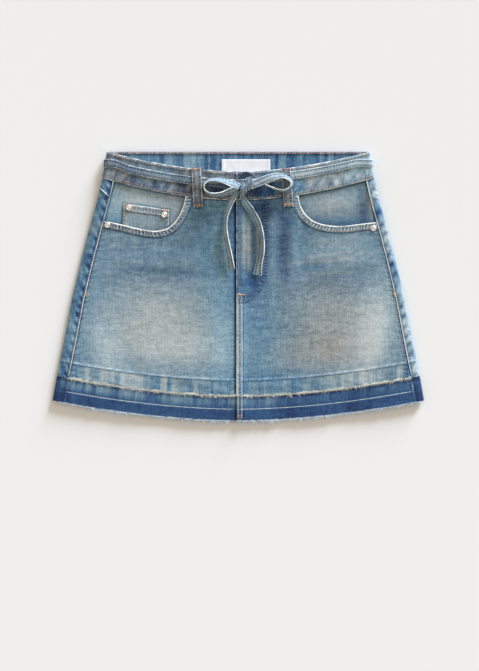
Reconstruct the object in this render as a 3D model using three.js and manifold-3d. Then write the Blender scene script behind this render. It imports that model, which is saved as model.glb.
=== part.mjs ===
// A denim mini skirt with scoop pockets and a tie belt, laid flat on its back.
// Millimetres. +X is to the right across the front, +Y is towards the waist, +Z is up from the surface.
// The origin is on the surface, under the middle of the skirt's outline.

import * as THREE from "three";
import { mergeVertices } from "three/addons/utils/BufferGeometryUtils.js";
import Module from "manifold-3d";

const wasm = await Module();
wasm.setup();

// Driving sizes of the garment
const LENGTH = 388; // back waistband edge to the lowest point of the hem
const WAIST_FLAT = 379; // across the waistband's top edge
const BAND_DEPTH = 38; // waistband, top edge to seam
const SEAM_GAP = 0.3; // between pieces that are sewn together
const DENIM = 1.2;
const BAND = 2.4; // two layers of denim
const FACING = 1.0;
const STRAP = 1.2; // belt, bow and belt loops
const BELT_WIDTH = 11.5;
const LOOP_WIDTH = 13.4;
const TOP_Y = LENGTH / 2;

// Side outline: half the flat width at each height above the hem's lowest point
const SIDE_OUTLINE = [
  { height: 0, half: 273 },
  { height: 60, half: 262.5 },
  { height: 117, half: 251 },
  { height: 175, half: 240 },
  { height: 232, half: 226.5 },
  { height: 275, half: 215.3 },
  { height: 319, half: 203 },
  { height: 350, half: 196 },
  { height: LENGTH, half: WAIST_FLAT / 2 },
];

// Curves that run across the skirt: y at the side fold, how far the middle dips, and the half width there
const CURVES = {
  waistTop: { edge: TOP_Y, dip: 28.5, half: 189.5 },
  waistSeam: { edge: TOP_Y - BAND_DEPTH, dip: 32, half: 196 },
  backWaistTop: { edge: TOP_Y, dip: 0, half: 189.5 },
  backWaistSeam: { edge: TOP_Y - BAND_DEPTH, dip: 0, half: 196 },
  crease: { edge: -129, dip: 29, half: 262 },
  hem: { edge: -165, dip: 29, half: 268 },
};
const CURVE_POWER = 1.8;
const BACK_HEM_LIFT = 1.5; // the back hem ends just inside the front hem

// How far the back panel comes round to the front, as a strip beside each side seam
const STRIP = { left: 18, right: 13 };
const FOLD_REACH = 7; // the side fold's half ellipse, across
const BAND_FOLD_REACH = 6;

// Height of the front cloth's outer surface above the table
const LOFT = { middle: 4.7, side: 6.1, waistMiddle: 8.6, waistSide: 9.1 };
const FRONT_RISE_FROM = 0.69; // of the way up from the hem, where the front starts to rise to the waist
const BAND_STEP = 0.7; // the waistband stands this far above the panel at its seam
const HEM_DROP = 0.5; // the let-down hem lies this far under the worn crease
const BACK_RISE = 3.0; // the back waistband rests on the belt and its loop
const BACK_RISE_FROM = 52;
const BACK_RISE_TO = 142;

// The front's centre line: the wearer's left front laps over the right one
const LAP = { edge: -2.7, under: 5, raise: 1.5, flatTo: 5.4, fadeTo: 14 };

// Soft creases of the front, as lines: ends, half width, and height above or below the cloth
const FOLDS = [
  { x0: 63, y0: 106, x1: 66, y1: 20, width: 9, height: -0.8 },
  { x0: 50, y0: 90, x1: 48, y1: 10, width: 8, height: 0.5 },
  { x0: 97, y0: 88, x1: 95, y1: 20, width: 10, height: -0.5 },
  { x0: -62, y0: 108, x1: -48, y1: 48, width: 10, height: -0.4 },
  { x0: -22, y0: 100, x1: -26, y1: 25, width: 9, height: -0.5 },
  { x0: -150, y0: 45, x1: -60, y1: 38, width: 11, height: 0.45 },
  { x0: -165, y0: 20, x1: -85, y1: 8, width: 10, height: -0.4 },
  { x0: 105, y0: 42, x1: 175, y1: 52, width: 11, height: 0.45 },
  { x0: 115, y0: 8, x1: 190, y1: 22, width: 10, height: -0.4 },
  { x0: -210, y0: -60, x1: -190, y1: -118, width: 12, height: 0.5 },
  { x0: 205, y0: -50, x1: 188, y1: -116, width: 12, height: 0.5 },
  { x0: 25, y0: -143, x1: 85, y1: -141, width: 5, height: 0.5 },
];
const HEM_WAVES = { height: 0.5, length: 84 };

const COLOURS = {
  washed: 0x7f9fb2,
  facing: 0x86a2ae,
  band: 0x6f8b9a,
  indigo: 0x3f6288,
  strap: 0x90a6ae,
  copper: 0xc79a7c,
  steel: 0x6d727a,
  label: 0xf0eef0,
};

const clamp01 = (v) => Math.min(1, Math.max(0, v));
const mix = (a, b, t) => a + (b - a) * t;
const smooth = (a, b, v) => {
  const t = clamp01((v - a) / (b - a));
  return t * t * (3 - 2 * t);
};

// Half the flat width at a place along the skirt
function halfWidth(y) {
  const height = y + TOP_Y;
  let i = SIDE_OUTLINE.findIndex((row) => row.height >= height);
  i = i < 1 ? (i === 0 ? 1 : SIDE_OUTLINE.length - 1) : i;
  const low = SIDE_OUTLINE[i - 1];
  const high = SIDE_OUTLINE[i];
  return mix(low.half, high.half, (height - low.height) / (high.height - low.height));
}

function curveY(name, x, offset = 0) {
  const c = CURVES[name];
  return c.edge + offset - c.dip * (1 - Math.min(1, Math.abs(x) / c.half) ** CURVE_POWER);
}

// Height that the crease lines add at a point
function foldHeight(x, y) {
  let z = 0;
  for (const f of FOLDS) {
    const dx = f.x1 - f.x0;
    const dy = f.y1 - f.y0;
    const along = clamp01(((x - f.x0) * dx + (y - f.y0) * dy) / (dx * dx + dy * dy));
    const away = Math.hypot(x - f.x0 - along * dx, y - f.y0 - along * dy);
    z += f.height * Math.exp(-((away / f.width) ** 2));
  }
  return z;
}

// Outer surface of the front cloth
function frontTop(x, y) {
  const half = halfWidth(y);
  const seamY = curveY("waistSeam", x);
  const hemY = curveY("hem", x);
  const up = (y - hemY) / (seamY - hemY);
  const rise = smooth(FRONT_RISE_FROM, 1, up);
  const outward = smooth(0.5, 0.93, Math.abs(x) / half);
  const low = mix(LOFT.middle, LOFT.side, outward);
  const high = mix(LOFT.waistMiddle, LOFT.waistSide, outward);
  const wave = HEM_WAVES.height * Math.sin((2 * Math.PI * x) / HEM_WAVES.length) * (1 - smooth(0, 0.16, up));
  return mix(low, high, rise) + foldHeight(x, y) + wave * (1 - outward);
}

// The wearer's left front is raised where it laps over the right one
function lapRaise(x) {
  return LAP.raise * (1 - smooth(LAP.flatTo, LAP.fadeTo, x));
}

function bandTop(x, y) {
  const outward = smooth(0.5, 0.93, Math.abs(x) / halfWidth(y));
  return mix(LOFT.waistMiddle, LOFT.waistSide, outward) + BAND_STEP;
}

// Underside of the back cloth
function backBottom(y) {
  return BACK_RISE * smooth(BACK_RISE_FROM, BACK_RISE_TO, y);
}

// A closed mesh from points and triangles, turned so that its faces point out
function closedMesh(points, triangles) {
  let volume = 0;
  for (const [a, b, c] of triangles) {
    const [p, q, r] = [points[a], points[b], points[c]];
    volume += p[0] * (q[1] * r[2] - q[2] * r[1]);
    volume += p[1] * (q[2] * r[0] - q[0] * r[2]);
    volume += p[2] * (q[0] * r[1] - q[1] * r[0]);
  }
  const facing = volume < 0 ? triangles.map(([a, b, c]) => [a, c, b]) : triangles;
  const geometry = new THREE.BufferGeometry();
  geometry.setAttribute("position", new THREE.Float32BufferAttribute(points.flat(), 3));
  geometry.setIndex(facing.flat());
  return geometry;
}

// A cloth wall between an outer and an inner grid of points of the same size
function wall(outer, inner) {
  const rows = outer.length;
  const cols = outer[0].length;
  const points = [...outer.flat(), ...inner.flat()];
  const at = (side, j, i) => side * rows * cols + j * cols + i;
  const triangles = [];
  const quad = (a, b, c, d) => triangles.push([a, b, c], [a, c, d]);
  for (let j = 0; j + 1 < rows; j++) {
    for (let i = 0; i + 1 < cols; i++) {
      quad(at(0, j, i), at(0, j, i + 1), at(0, j + 1, i + 1), at(0, j + 1, i));
      quad(at(1, j, i), at(1, j + 1, i), at(1, j + 1, i + 1), at(1, j, i + 1));
    }
  }
  for (let i = 0; i + 1 < cols; i++) {
    quad(at(0, 0, i), at(1, 0, i), at(1, 0, i + 1), at(0, 0, i + 1));
    quad(at(0, rows - 1, i + 1), at(1, rows - 1, i + 1), at(1, rows - 1, i), at(0, rows - 1, i));
  }
  for (let j = 0; j + 1 < rows; j++) {
    quad(at(0, j + 1, 0), at(1, j + 1, 0), at(1, j, 0), at(0, j, 0));
    quad(at(0, j, cols - 1), at(1, j, cols - 1), at(1, j + 1, cols - 1), at(0, j + 1, cols - 1));
  }
  return closedMesh(points, triangles);
}

const steps = (count) => Array.from({ length: count + 1 }, (_, i) => i / count);

// A piece of the front: between two curves, in columns that each give x as a function of y
function frontPiece({ low, high, columns, along, top, thickness }) {
  const outer = steps(along).map((t) =>
    columns.map((column) => {
      let y = 0;
      for (let k = 0; k < 6; k++) {
        const x = column(y);
        y = mix(low(x), high(x), t);
      }
      return [column(y), y, top(column(y), y)];
    }),
  );
  return wall(outer, outer.map((row) => row.map(([x, y, z]) => [x, y, z - thickness])));
}

const columnsBetween = (from, to, count) => steps(count).map((f) => (y) => mix(from(y), to(y), f));

// Where the side seams lie on the front
const seamX = (side, inside = 0) => (y) =>
  side === "left" ? -(halfWidth(y) - STRIP.left) + inside : halfWidth(y) - STRIP.right - inside;

// The back wraps under the front: strip, side fold, the flat back, side fold, strip
function backPiece({ frontLow, frontHigh, backLow, backHigh, along, top, bottom, thickness, reach }) {
  const half = (y) => halfWidth(y) - reach;
  const columns = [];
  const strip = (side) => {
    const sign = side === "left" ? -1 : 1;
    const inner = (y) => seamX(side)(y) + (sign * SEAM_GAP) / 2;
    return [0, 0.5].map((f) => ({
      front: true,
      at: (y, deep) => {
        const x = mix(inner(y), sign * half(y), f);
        return [x, y, top(x, y) - deep];
      },
    }));
  };
  const fold = (side) => {
    const sign = side === "left" ? -1 : 1;
    return steps(8).map((f) => ({
      front: f < 0.5,
      at: (y, deep) => {
        const high = top(sign * half(y), y);
        const low = bottom(y);
        const turn = Math.PI * (0.5 - f);
        const x = sign * (half(y) + (reach - deep) * Math.cos(turn));
        return [x, y, (high + low) / 2 + ((high - low) / 2 - deep) * Math.sin(turn)];
      },
    }));
  };
  const flat = steps(12)
    .slice(1, -1)
    .map((f) => ({
      front: false,
      at: (y, deep) => [mix(-half(y), half(y), f), y, bottom(y) + deep],
    }));
  columns.push(...strip("left"), ...fold("left"), ...flat);
  columns.push(...fold("right").reverse(), ...strip("right").reverse());
  const grid = (deep) =>
    steps(along).map((t) =>
      columns.map((column) => {
        let y = 0;
        for (let k = 0; k < 6; k++) {
          const x = column.at(y, 0)[0];
          const [low, high] = column.front ? [frontLow, frontHigh] : [backLow, backHigh];
          y = mix(low(x), high(x), t);
        }
        return column.at(y, deep);
      }),
    );
  return wall(grid(0), grid(thickness));
}

// A flat strap along a hand-placed route: width lies in the table's plane at tilt 0 and upright at 90
function strap(route, width, thickness) {
  const corners = [
    [-1, -1],
    [1, -1],
    [1, 1],
    [-1, 1],
  ];
  const rings = route.map((row, i) => {
    const before = route[Math.max(0, i - 1)];
    const after = route[Math.min(route.length - 1, i + 1)];
    const ahead = new THREE.Vector3(after.x - before.x, after.y - before.y, after.z - before.z).normalize();
    const level = new THREE.Vector3(-ahead.y, ahead.x, 0).normalize();
    const tilt = THREE.MathUtils.degToRad(row.tilt ?? 0);
    const upright = new THREE.Vector3().crossVectors(ahead, level);
    const across = level.clone().multiplyScalar(Math.cos(tilt)).addScaledVector(upright, Math.sin(tilt));
    const out = new THREE.Vector3().crossVectors(ahead, across);
    return corners.map(([a, b]) =>
      new THREE.Vector3(row.x, row.y, row.z)
        .addScaledVector(across, ((row.width ?? width) / 2) * a)
        .addScaledVector(out, (thickness / 2) * b)
        .toArray(),
    );
  });
  return tube(rings);
}

// A closed tube through rings of the same number of points
function tube(rings) {
  const n = rings[0].length;
  const triangles = [];
  for (let j = 0; j + 1 < rings.length; j++) {
    for (let i = 0; i < n; i++) {
      const [a, b] = [j * n + i, j * n + ((i + 1) % n)];
      triangles.push([a, b, b + n], [a, b + n, a + n]);
    }
  }
  const last = (rings.length - 1) * n;
  for (let i = 1; i + 1 < n; i++) {
    triangles.push([0, i + 1, i], [last, last + i, last + i + 1]);
  }
  return closedMesh(rings.flat(), triangles);
}

function solidOf(geometry) {
  const bare = geometry.clone();
  bare.deleteAttribute("normal");
  bare.deleteAttribute("uv");
  const merged = mergeVertices(bare, 1e-4);
  return new wasm.Manifold(
    new wasm.Mesh({
      numProp: 3,
      vertProperties: merged.attributes.position.array,
      triVerts: new Uint32Array(merged.index.array),
    }),
  );
}

function geometryOf(solid) {
  const { vertProperties, triVerts } = solid.getMesh();
  const geometry = new THREE.BufferGeometry();
  geometry.setAttribute("position", new THREE.BufferAttribute(vertProperties, 3));
  geometry.setIndex(new THREE.BufferAttribute(triVerts, 1));
  return geometry;
}

const skirt = new THREE.Group();
function add(name, geometry, colour, roughness = 0.9, metalness = 0) {
  const material = new THREE.MeshStandardMaterial({ color: colour, roughness, metalness });
  const mesh = new THREE.Mesh(geometry, material);
  mesh.name = name;
  skirt.add(mesh);
  return mesh;
}

// Scooped pocket openings, as points along the cut edge from the waist seam to the side seam
const SCOOPS = {
  left: [
    { x: -76, y: 129 },
    { x: -78.5, y: 118 },
    { x: -82, y: 109 },
    { x: -87, y: 99 },
    { x: -94, y: 90 },
    { x: -103, y: 83.5 },
    { x: -121, y: 80 },
    { x: -144, y: 83.5 },
    { x: -167, y: 89 },
    { x: -186, y: 93 },
  ],
  right: [
    { x: 87, y: 128 },
    { x: 88.5, y: 120 },
    { x: 91, y: 113 },
    { x: 98.5, y: 102 },
    { x: 111, y: 93 },
    { x: 130, y: 88 },
    { x: 151, y: 87 },
    { x: 172, y: 89.5 },
    { x: 197, y: 92 },
  ],
};

// The space that a pocket opening cuts out of the front: from its curved edge up past the waist and side
function scoopCutter(side) {
  const sign = side === "left" ? -1 : 1;
  const edge = SCOOPS[side];
  const outline = new THREE.Shape();
  outline.moveTo(edge[0].x + sign * -0.5, 175);
  outline.lineTo(edge[0].x, edge[0].y);
  for (const p of edge.slice(1)) outline.lineTo(p.x, p.y);
  outline.lineTo(sign * 230, edge[edge.length - 1].y + 3);
  outline.lineTo(sign * 230, 175);
  const cutter = new THREE.ExtrudeGeometry(outline, { depth: 30, bevelEnabled: false });
  return solidOf(cutter);
}

// Columns of a front piece, from the wearer's right to left: finer where the two fronts lap
function frontColumns(side, across) {
  const seam = seamX(side, SEAM_GAP / 2);
  if (side === "left") {
    const plain = columnsBetween(seam, () => LAP.edge - 12, across);
    return [...plain, () => LAP.edge - 3, () => LAP.under];
  }
  const lap = [LAP.edge, (LAP.edge + LAP.flatTo) / 2, LAP.flatTo, (LAP.flatTo + LAP.fadeTo) / 2];
  return [...lap.map((x) => () => x), ...columnsBetween(() => LAP.fadeTo, seam, across)];
}

const below = (curve, offset) => (x) => curveY(curve, x, offset);
const panelLow = below("crease", SEAM_GAP / 2);
const panelHigh = below("waistSeam", -SEAM_GAP / 2);

function frontPanel(side) {
  const panel = frontPiece({
    low: panelLow,
    high: panelHigh,
    columns: frontColumns(side, 12),
    along: 15,
    top: side === "left" ? frontTop : (x, y) => frontTop(x, y) + lapRaise(x),
    thickness: DENIM,
  });
  return geometryOf(solidOf(panel).subtract(scoopCutter(side)));
}

// Pocket facings lie behind the openings, seen through them
const FACING_DROP = { left: DENIM + SEAM_GAP + FACING + SEAM_GAP, right: DENIM + SEAM_GAP };
const FACING_INNER = { left: -62, right: 73 };
const FACING_LOW_Y = 64;

function pocketFacing(side) {
  const seam = seamX(side, SEAM_GAP / 2);
  const inner = () => FACING_INNER[side];
  return frontPiece({
    low: () => FACING_LOW_Y,
    high: panelHigh,
    columns: columnsBetween(seam, inner, 8),
    along: 6,
    top: (x, y) => frontTop(x, y) - FACING_DROP[side],
    thickness: FACING,
  });
}

// Coin pocket on the facing, its lower edge tucked behind the opening
const COIN = [
  { x: -165, y: 119.5 },
  { x: -99.5, y: 110 },
  { x: -101, y: 76 },
  { x: -168, y: 76 },
];

function coinPocket() {
  const [topLeft, topRight, lowRight, lowLeft] = COIN;
  const outer = steps(4).map((t) =>
    steps(6).map((f) => {
      const x = mix(mix(topLeft.x, topRight.x, f), mix(lowLeft.x, lowRight.x, f), t);
      const y = mix(mix(topLeft.y, topRight.y, f), mix(lowLeft.y, lowRight.y, f), t);
      return [x, y, frontTop(x, y) - DENIM - SEAM_GAP];
    }),
  );
  return wall(outer, outer.map((row) => row.map(([x, y, z]) => [x, y, z - FACING])));
}

// Waistband of the front, in two halves that lap at the centre
function frontBand(side) {
  const left = side === "left";
  const seam = seamX(side, SEAM_GAP / 2);
  return frontPiece({
    low: below("waistSeam", SEAM_GAP / 2),
    high: below("waistTop", 0),
    columns: columnsBetween(seam, () => (left ? LAP.edge - SEAM_GAP : LAP.edge), 12),
    along: 3,
    top: bandTop,
    thickness: BAND,
  });
}

// Let-down hem, below the worn crease
function frontHem(side) {
  const top = (x, y) => frontTop(x, y) - HEM_DROP;
  return frontPiece({
    low: below("hem", 0),
    high: below("crease", -SEAM_GAP / 2),
    columns: frontColumns(side, 12),
    along: 3,
    top: side === "left" ? top : (x, y) => top(x, y) + lapRaise(x),
    thickness: DENIM,
  });
}

for (const side of ["left", "right"]) {
  add(`front_${side}_panel`, frontPanel(side), COLOURS.washed);
  add(`pocket_facing_${side}`, pocketFacing(side), COLOURS.facing);
  add(`waistband_front_${side}`, frontBand(side), COLOURS.band);
  add(`hem_front_${side}`, frontHem(side), COLOURS.indigo);
}
add("coin_pocket", coinPocket(), COLOURS.facing);

add(
  "back_panel",
  backPiece({
    frontLow: panelLow,
    frontHigh: panelHigh,
    backLow: below("crease", SEAM_GAP / 2),
    backHigh: below("backWaistSeam", -SEAM_GAP / 2),
    along: 13,
    top: frontTop,
    bottom: backBottom,
    thickness: DENIM,
    reach: FOLD_REACH,
  }),
  COLOURS.washed,
);
add(
  "hem_back",
  backPiece({
    frontLow: below("hem", 0),
    frontHigh: below("crease", -SEAM_GAP / 2),
    backLow: below("hem", BACK_HEM_LIFT),
    backHigh: below("crease", -SEAM_GAP / 2),
    along: 2,
    top: (x, y) => frontTop(x, y) - HEM_DROP,
    bottom: () => 0,
    thickness: DENIM,
    reach: FOLD_REACH,
  }),
  COLOURS.indigo,
);
add(
  "waistband_back",
  backPiece({
    frontLow: below("waistSeam", SEAM_GAP / 2),
    frontHigh: below("waistTop", 0),
    backLow: below("backWaistSeam", SEAM_GAP / 2),
    backHigh: below("backWaistTop", 0),
    along: 3,
    top: bandTop,
    bottom: () => BACK_RISE,
    thickness: BAND,
    reach: BAND_FOLD_REACH,
  }),
  COLOURS.band,
);

// Belt: a flat strap round the waistband, in a left, a right and a back stretch
const BELT_DOWN = { left: 17.5, right: 11.5 }; // its centre line below the waistband's top edge
const BELT_BACK_Y = 177;
const BELT_BACK_END = 150; // where the side stretches meet the back one
const CENTRE_LIFT = 2.2; // the belt climbs over the button at the centre
const CENTRE_X = 9; // where the belt's two ends meet under the knot
const BELT_DIP = [20, 60]; // between these the right side sinks to the left one's depth, under the button

function beltDown(side, x) {
  return mix(BELT_DOWN.left, BELT_DOWN[side], smooth(...BELT_DIP, Math.abs(x)));
}

// A strap on the waistband: each station gives its middle y, and a point at any y and height off it
function bandStrap(stations) {
  const reach = BELT_WIDTH / 2;
  const near = SEAM_GAP;
  const far = SEAM_GAP + STRAP;
  const corners = [
    [-reach, near],
    [reach, near],
    [reach, far],
    [-reach, far],
  ];
  return tube(stations.map(({ y, at }) => corners.map(([across, off]) => at(y + across, off))));
}

const backStation = (x) => ({ y: BELT_BACK_Y, at: (y, off) => [x, y, BACK_RISE - off] });

function beltStretch(side) {
  const sign = side === "left" ? -1 : 1;
  const half = (y) => halfWidth(y) - BAND_FOLD_REACH;
  const end = half(BELT_BACK_Y);
  const stations = steps(14).map((f) => {
    const x = mix(CENTRE_X + sign * 0.2, sign * end, f);
    const frontY = curveY("waistTop", x) - beltDown(side, x);
    const lift = CENTRE_LIFT * (1 - smooth(12, 42, Math.abs(x - CENTRE_X)));
    return {
      y: mix(frontY, BELT_BACK_Y, smooth(0.84, 1, Math.abs(x) / end)),
      at: (y, off) => [x, y, bandTop(x, y) + off + lift],
    };
  });
  for (const f of steps(8).slice(1)) {
    const turn = Math.PI * (0.5 - f);
    stations.push({
      y: BELT_BACK_Y,
      at: (y, off) => {
        const high = bandTop(sign * half(y), y);
        const x = sign * (half(y) + (BAND_FOLD_REACH + off) * Math.cos(turn));
        return [x, y, (high + BACK_RISE) / 2 + ((high - BACK_RISE) / 2 + off) * Math.sin(turn)];
      },
    });
  }
  stations.push(backStation(sign * BELT_BACK_END));
  return bandStrap(stations);
}

for (const side of ["left", "right"]) add(`tie_belt_${side}`, beltStretch(side), COLOURS.strap);
const backBeltEnd = BELT_BACK_END - SEAM_GAP;
add("tie_belt_back", bandStrap([-1, 0, 1].map((f) => backStation(f * backBeltEnd))), COLOURS.strap);

// Belt loops: a strip from the waistband's top edge, over the belt, to the panel below the seam
const LOOPS = {
  left: { top: { x: -60.6, y: 171.5 }, low: { x: -57.6, y: 113.6 } },
  right: { top: { x: 68.5, y: 169 }, low: { x: 72.7, y: 114.5 } },
};
const LOOP_LIFT = SEAM_GAP + STRAP / 2;

function beltLoop(side) {
  const { top, low } = LOOPS[side];
  const xAt = (y) => mix(low.x, top.x, (y - low.y) / (top.y - low.y));
  const middle = (top.x + low.x) / 2;
  const beltY = curveY("waistTop", middle) - beltDown(side, middle);
  const seamY = curveY("waistSeam", middle);
  const overBelt = STRAP + SEAM_GAP + 0.4;
  const reach = BELT_WIDTH / 2;
  const panel = (x, y) => Math.max(...[-0.5, 0, 0.5].map((f) => frontTop(x + f * LOOP_WIDTH, y)));
  const stations = [
    { y: top.y, over: 0.2 },
    { y: Math.min(top.y - 1, beltY + reach + 6), over: overBelt * 0.55 },
    { y: beltY + reach + 2.5, over: overBelt },
    { y: beltY, over: overBelt },
    { y: beltY - reach - 2.5, over: overBelt },
    { y: beltY - reach - 8, over: 0.5 },
    { y: seamY + 1, over: 0.3 },
    { y: seamY - 5, over: 0.3 },
    { y: low.y, over: 0.2 },
  ];
  const route = stations.map(({ y, over }) => {
    const x = xAt(y);
    const under = y > seamY ? bandTop(x, y) + 0.1 : panel(x, y);
    return { x, y, z: under + LOOP_LIFT + over };
  });
  return strap(route, LOOP_WIDTH, STRAP);
}

for (const side of ["left", "right"]) add(`belt_loop_${side}`, beltLoop(side), COLOURS.strap);
const BACK_LOOP = { x: 0, top: TOP_Y - 1, low: TOP_Y - 60 };
add(
  "belt_loop_back",
  strap(
    [
      { x: BACK_LOOP.x, y: BACK_LOOP.top, z: STRAP / 2 },
      { x: BACK_LOOP.x, y: BACK_LOOP.low, z: STRAP / 2 },
    ],
    LOOP_WIDTH,
    STRAP,
  ),
  COLOURS.strap,
);

// Bow: two loops and two free ends from a knot at the centre; z is above the waistband's surface
const BOW_LEFT = [
  { x: 2, y: 142.5, z: 7.2, tilt: 24, width: 9 },
  { x: -8, y: 147, z: 8, tilt: 36 },
  { x: -22, y: 151.5, z: 8.3, tilt: 55 },
  { x: -36, y: 153.4, z: 8.4, tilt: 68 },
  { x: -46.5, y: 150, z: 8.4, tilt: 80 },
  { x: -50, y: 143, z: 8.4, tilt: 86 },
  { x: -47, y: 135.8, z: 8.4, tilt: 80 },
  { x: -38, y: 131, z: 8.2, tilt: 68 },
  { x: -24, y: 131.6, z: 8.2, tilt: 60 },
  { x: -12, y: 136, z: 8.2, tilt: 46 },
  { x: -2.5, y: 138.6, z: 7.7, tilt: 36, width: 9 },
];
const BOW_RIGHT = [
  { x: 16.8, y: 144, z: 7.6, tilt: -6, width: 10 },
  { x: 26, y: 148, z: 8, tilt: -8 },
  { x: 38, y: 152.8, z: 8.4, tilt: -12 },
  { x: 50, y: 157, z: 8.7, tilt: -28 },
  { x: 62, y: 158.6, z: 9.5, tilt: -50 },
  { x: 70.5, y: 156, z: 10.1, tilt: -64 },
  { x: 77, y: 149.5, z: 10.1, tilt: -72 },
  { x: 75, y: 141.4, z: 9.9, tilt: -76 },
  { x: 66, y: 136.8, z: 9.5, tilt: -80 },
  { x: 55, y: 138.6, z: 8.5, tilt: -82 },
  { x: 46, y: 142, z: 7.6, tilt: -80, width: 9 },
  { x: 38.5, y: 145.2, z: 7, tilt: -76, width: 7 },
];
const TAIL_LEFT = [
  { x: -0.5, y: 138.5, z: 3, tilt: 4, width: 7 },
  { x: -5.5, y: 131, z: 3, tilt: 18, width: 9 },
  { x: -10.5, y: 122, z: 3.4, tilt: 32 },
  { x: -15, y: 111, z: 3.4, tilt: 45 },
  { x: -18.6, y: 98, z: 3.1, tilt: 52 },
  { x: -19.4, y: 84, z: 2.9, tilt: 55 },
  { x: -17, y: 66, z: 2.3, tilt: 52 },
  { x: -13.5, y: 47, z: 1.0, tilt: 40 },
  { x: -9.8, y: 25, z: -1.2, tilt: 20 },
];
const TAIL_RIGHT = [
  { x: 4.8, y: 133.5, z: 2.8, tilt: 0, width: 7 },
  { x: 8.5, y: 123, z: 2.6, tilt: 4, width: 8.5 },
  { x: 14.5, y: 114.5, z: 2.4, tilt: 10 },
  { x: 20, y: 106, z: 2.3, tilt: 18 },
  { x: 28.5, y: 90, z: 2.1, tilt: 34 },
  { x: 33.8, y: 70, z: 1.7, tilt: 56 },
  { x: 34, y: 52, z: 0.6, tilt: 52 },
  { x: 30, y: 34, z: -1.6, tilt: 26 },
  { x: 27.4, y: 16.4, z: -3.0, tilt: 6, width: 12.4 },
];
const BOW_PIECES = {
  bow_loop_left: BOW_LEFT,
  bow_loop_right: BOW_RIGHT,
  tie_tail_left: TAIL_LEFT,
  tie_tail_right: TAIL_RIGHT,
};
const BAND_MIDDLE = bandTop(0, 142);
for (const [name, route] of Object.entries(BOW_PIECES)) {
  const placed = route.map((row) => ({ ...row, z: row.z + BAND_MIDDLE }));
  add(name, strap(placed, name.startsWith("tie") ? 10 : BELT_WIDTH, STRAP), COLOURS.strap);
}

// Knot: a pulled turn of the strap, as rings stacked along its height
const KNOT = { x: 9.4, y: 142.5, lift: 4.1, width: 11.5, depth: 6.4, length: 17 };
const KNOT_RINGS = [
  { along: -0.5, size: 0.72 },
  { along: -0.36, size: 0.9 },
  { along: 0, size: 1 },
  { along: 0.36, size: 0.9 },
  { along: 0.5, size: 0.72 },
];
const KNOT_SQUARENESS = 0.7;
function knot() {
  const round = (v) => Math.sign(v) * Math.abs(v) ** KNOT_SQUARENESS;
  const middle = BAND_MIDDLE + KNOT.lift + KNOT.depth / 2;
  const rings = KNOT_RINGS.map(({ along, size }) =>
    steps(12)
      .slice(0, -1)
      .map((f) => [
        KNOT.x + (KNOT.width / 2) * size * round(Math.cos(2 * Math.PI * f)),
        KNOT.y + KNOT.length * along,
        middle + (KNOT.depth / 2) * size * round(Math.sin(2 * Math.PI * f)),
      ]),
  );
  return tube(rings);
}
add("bow_knot", knot(), COLOURS.strap);

// A pressed metal stud turned about its own axis: radius and height along the profile
function stud(profile, turns) {
  const points = profile.map(({ r, z }) => new THREE.Vector2(r, z));
  const geometry = new THREE.LatheGeometry(points, turns);
  geometry.rotateX(Math.PI / 2);
  return geometry;
}
const RIVET_RADIUS = 4.25;
const RIVET_PROFILE = [
  { r: 0, z: 0 },
  { r: RIVET_RADIUS, z: 0 },
  { r: RIVET_RADIUS, z: 0.5 },
  { r: RIVET_RADIUS * 0.82, z: 1.2 },
  { r: RIVET_RADIUS * 0.5, z: 1.25 },
  { r: RIVET_RADIUS * 0.34, z: 1.0 },
  { r: RIVET_RADIUS * 0.24, z: 1.8 },
  { r: 0, z: 2.0 },
];
const BUTTON_RADIUS = 10;
const BUTTON_PROFILE = [
  { r: 0, z: 0 },
  { r: BUTTON_RADIUS * 0.94, z: 0 },
  { r: BUTTON_RADIUS, z: 0.8 },
  { r: BUTTON_RADIUS * 0.92, z: 1.8 },
  { r: BUTTON_RADIUS * 0.76, z: 1.9 },
  { r: BUTTON_RADIUS * 0.66, z: 1.4 },
  { r: 0, z: 1.5 },
];

// Rivets: centre, and how far the cloth they are set in lies under the front's surface
const RIVETS = [
  { name: "rivet_coin_left", x: -157.8, y: 113.3, under: DENIM + SEAM_GAP },
  { name: "rivet_coin_right", x: -106.8, y: 103.2, under: DENIM + SEAM_GAP },
  { name: "rivet_pocket_left", x: -188.5, y: 88.2, under: 0 },
  { name: "rivet_pocket_right", x: 194.6, y: 83.6, under: 0 },
];
for (const r of RIVETS) {
  const spots = [
    [0, 0],
    [1, 0],
    [-1, 0],
    [0, 1],
    [0, -1],
  ].map(([a, b]) => frontTop(r.x + a * RIVET_RADIUS, r.y + b * RIVET_RADIUS));
  const mesh = add(r.name, stud(RIVET_PROFILE, 14), COLOURS.copper, 0.4, 0.8);
  mesh.position.set(r.x, r.y, Math.max(...spots) - r.under + SEAM_GAP);
}
const BUTTON = { x: 12, y: 155.2 };
const button = add("waist_button", stud(BUTTON_PROFILE, 20), COLOURS.steel, 0.4, 0.8);
button.position.set(BUTTON.x, BUTTON.y, bandTop(0, BUTTON.y) + SEAM_GAP);

// Plain woven label inside the back waistband
const LABEL = { x: 11, y: 171.5, width: 70, height: 23, thickness: 1 };
const labelShape = new THREE.BoxGeometry(LABEL.width, LABEL.height, LABEL.thickness);
const label = add("label", labelShape, COLOURS.label, 0.7);
label.position.set(LABEL.x, LABEL.y, BACK_RISE + BAND + SEAM_GAP + LABEL.thickness / 2);

export default skirt;
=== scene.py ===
# %% [markdown]
# # A denim mini skirt, laid flat
#
# The skirt lies on its back, and the camera looks straight down on it. The packed model gives each piece
# its place. This lesson dresses it: each sewn piece becomes a thin shell of cloth with its own creases,
# puckers and fades, and then come the stitches, the bow, the metal and the frayed threads.
#
# Garment sizes are in millimetres, as in the part's source. They turn into metres when a mesh is made.

import math

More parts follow.
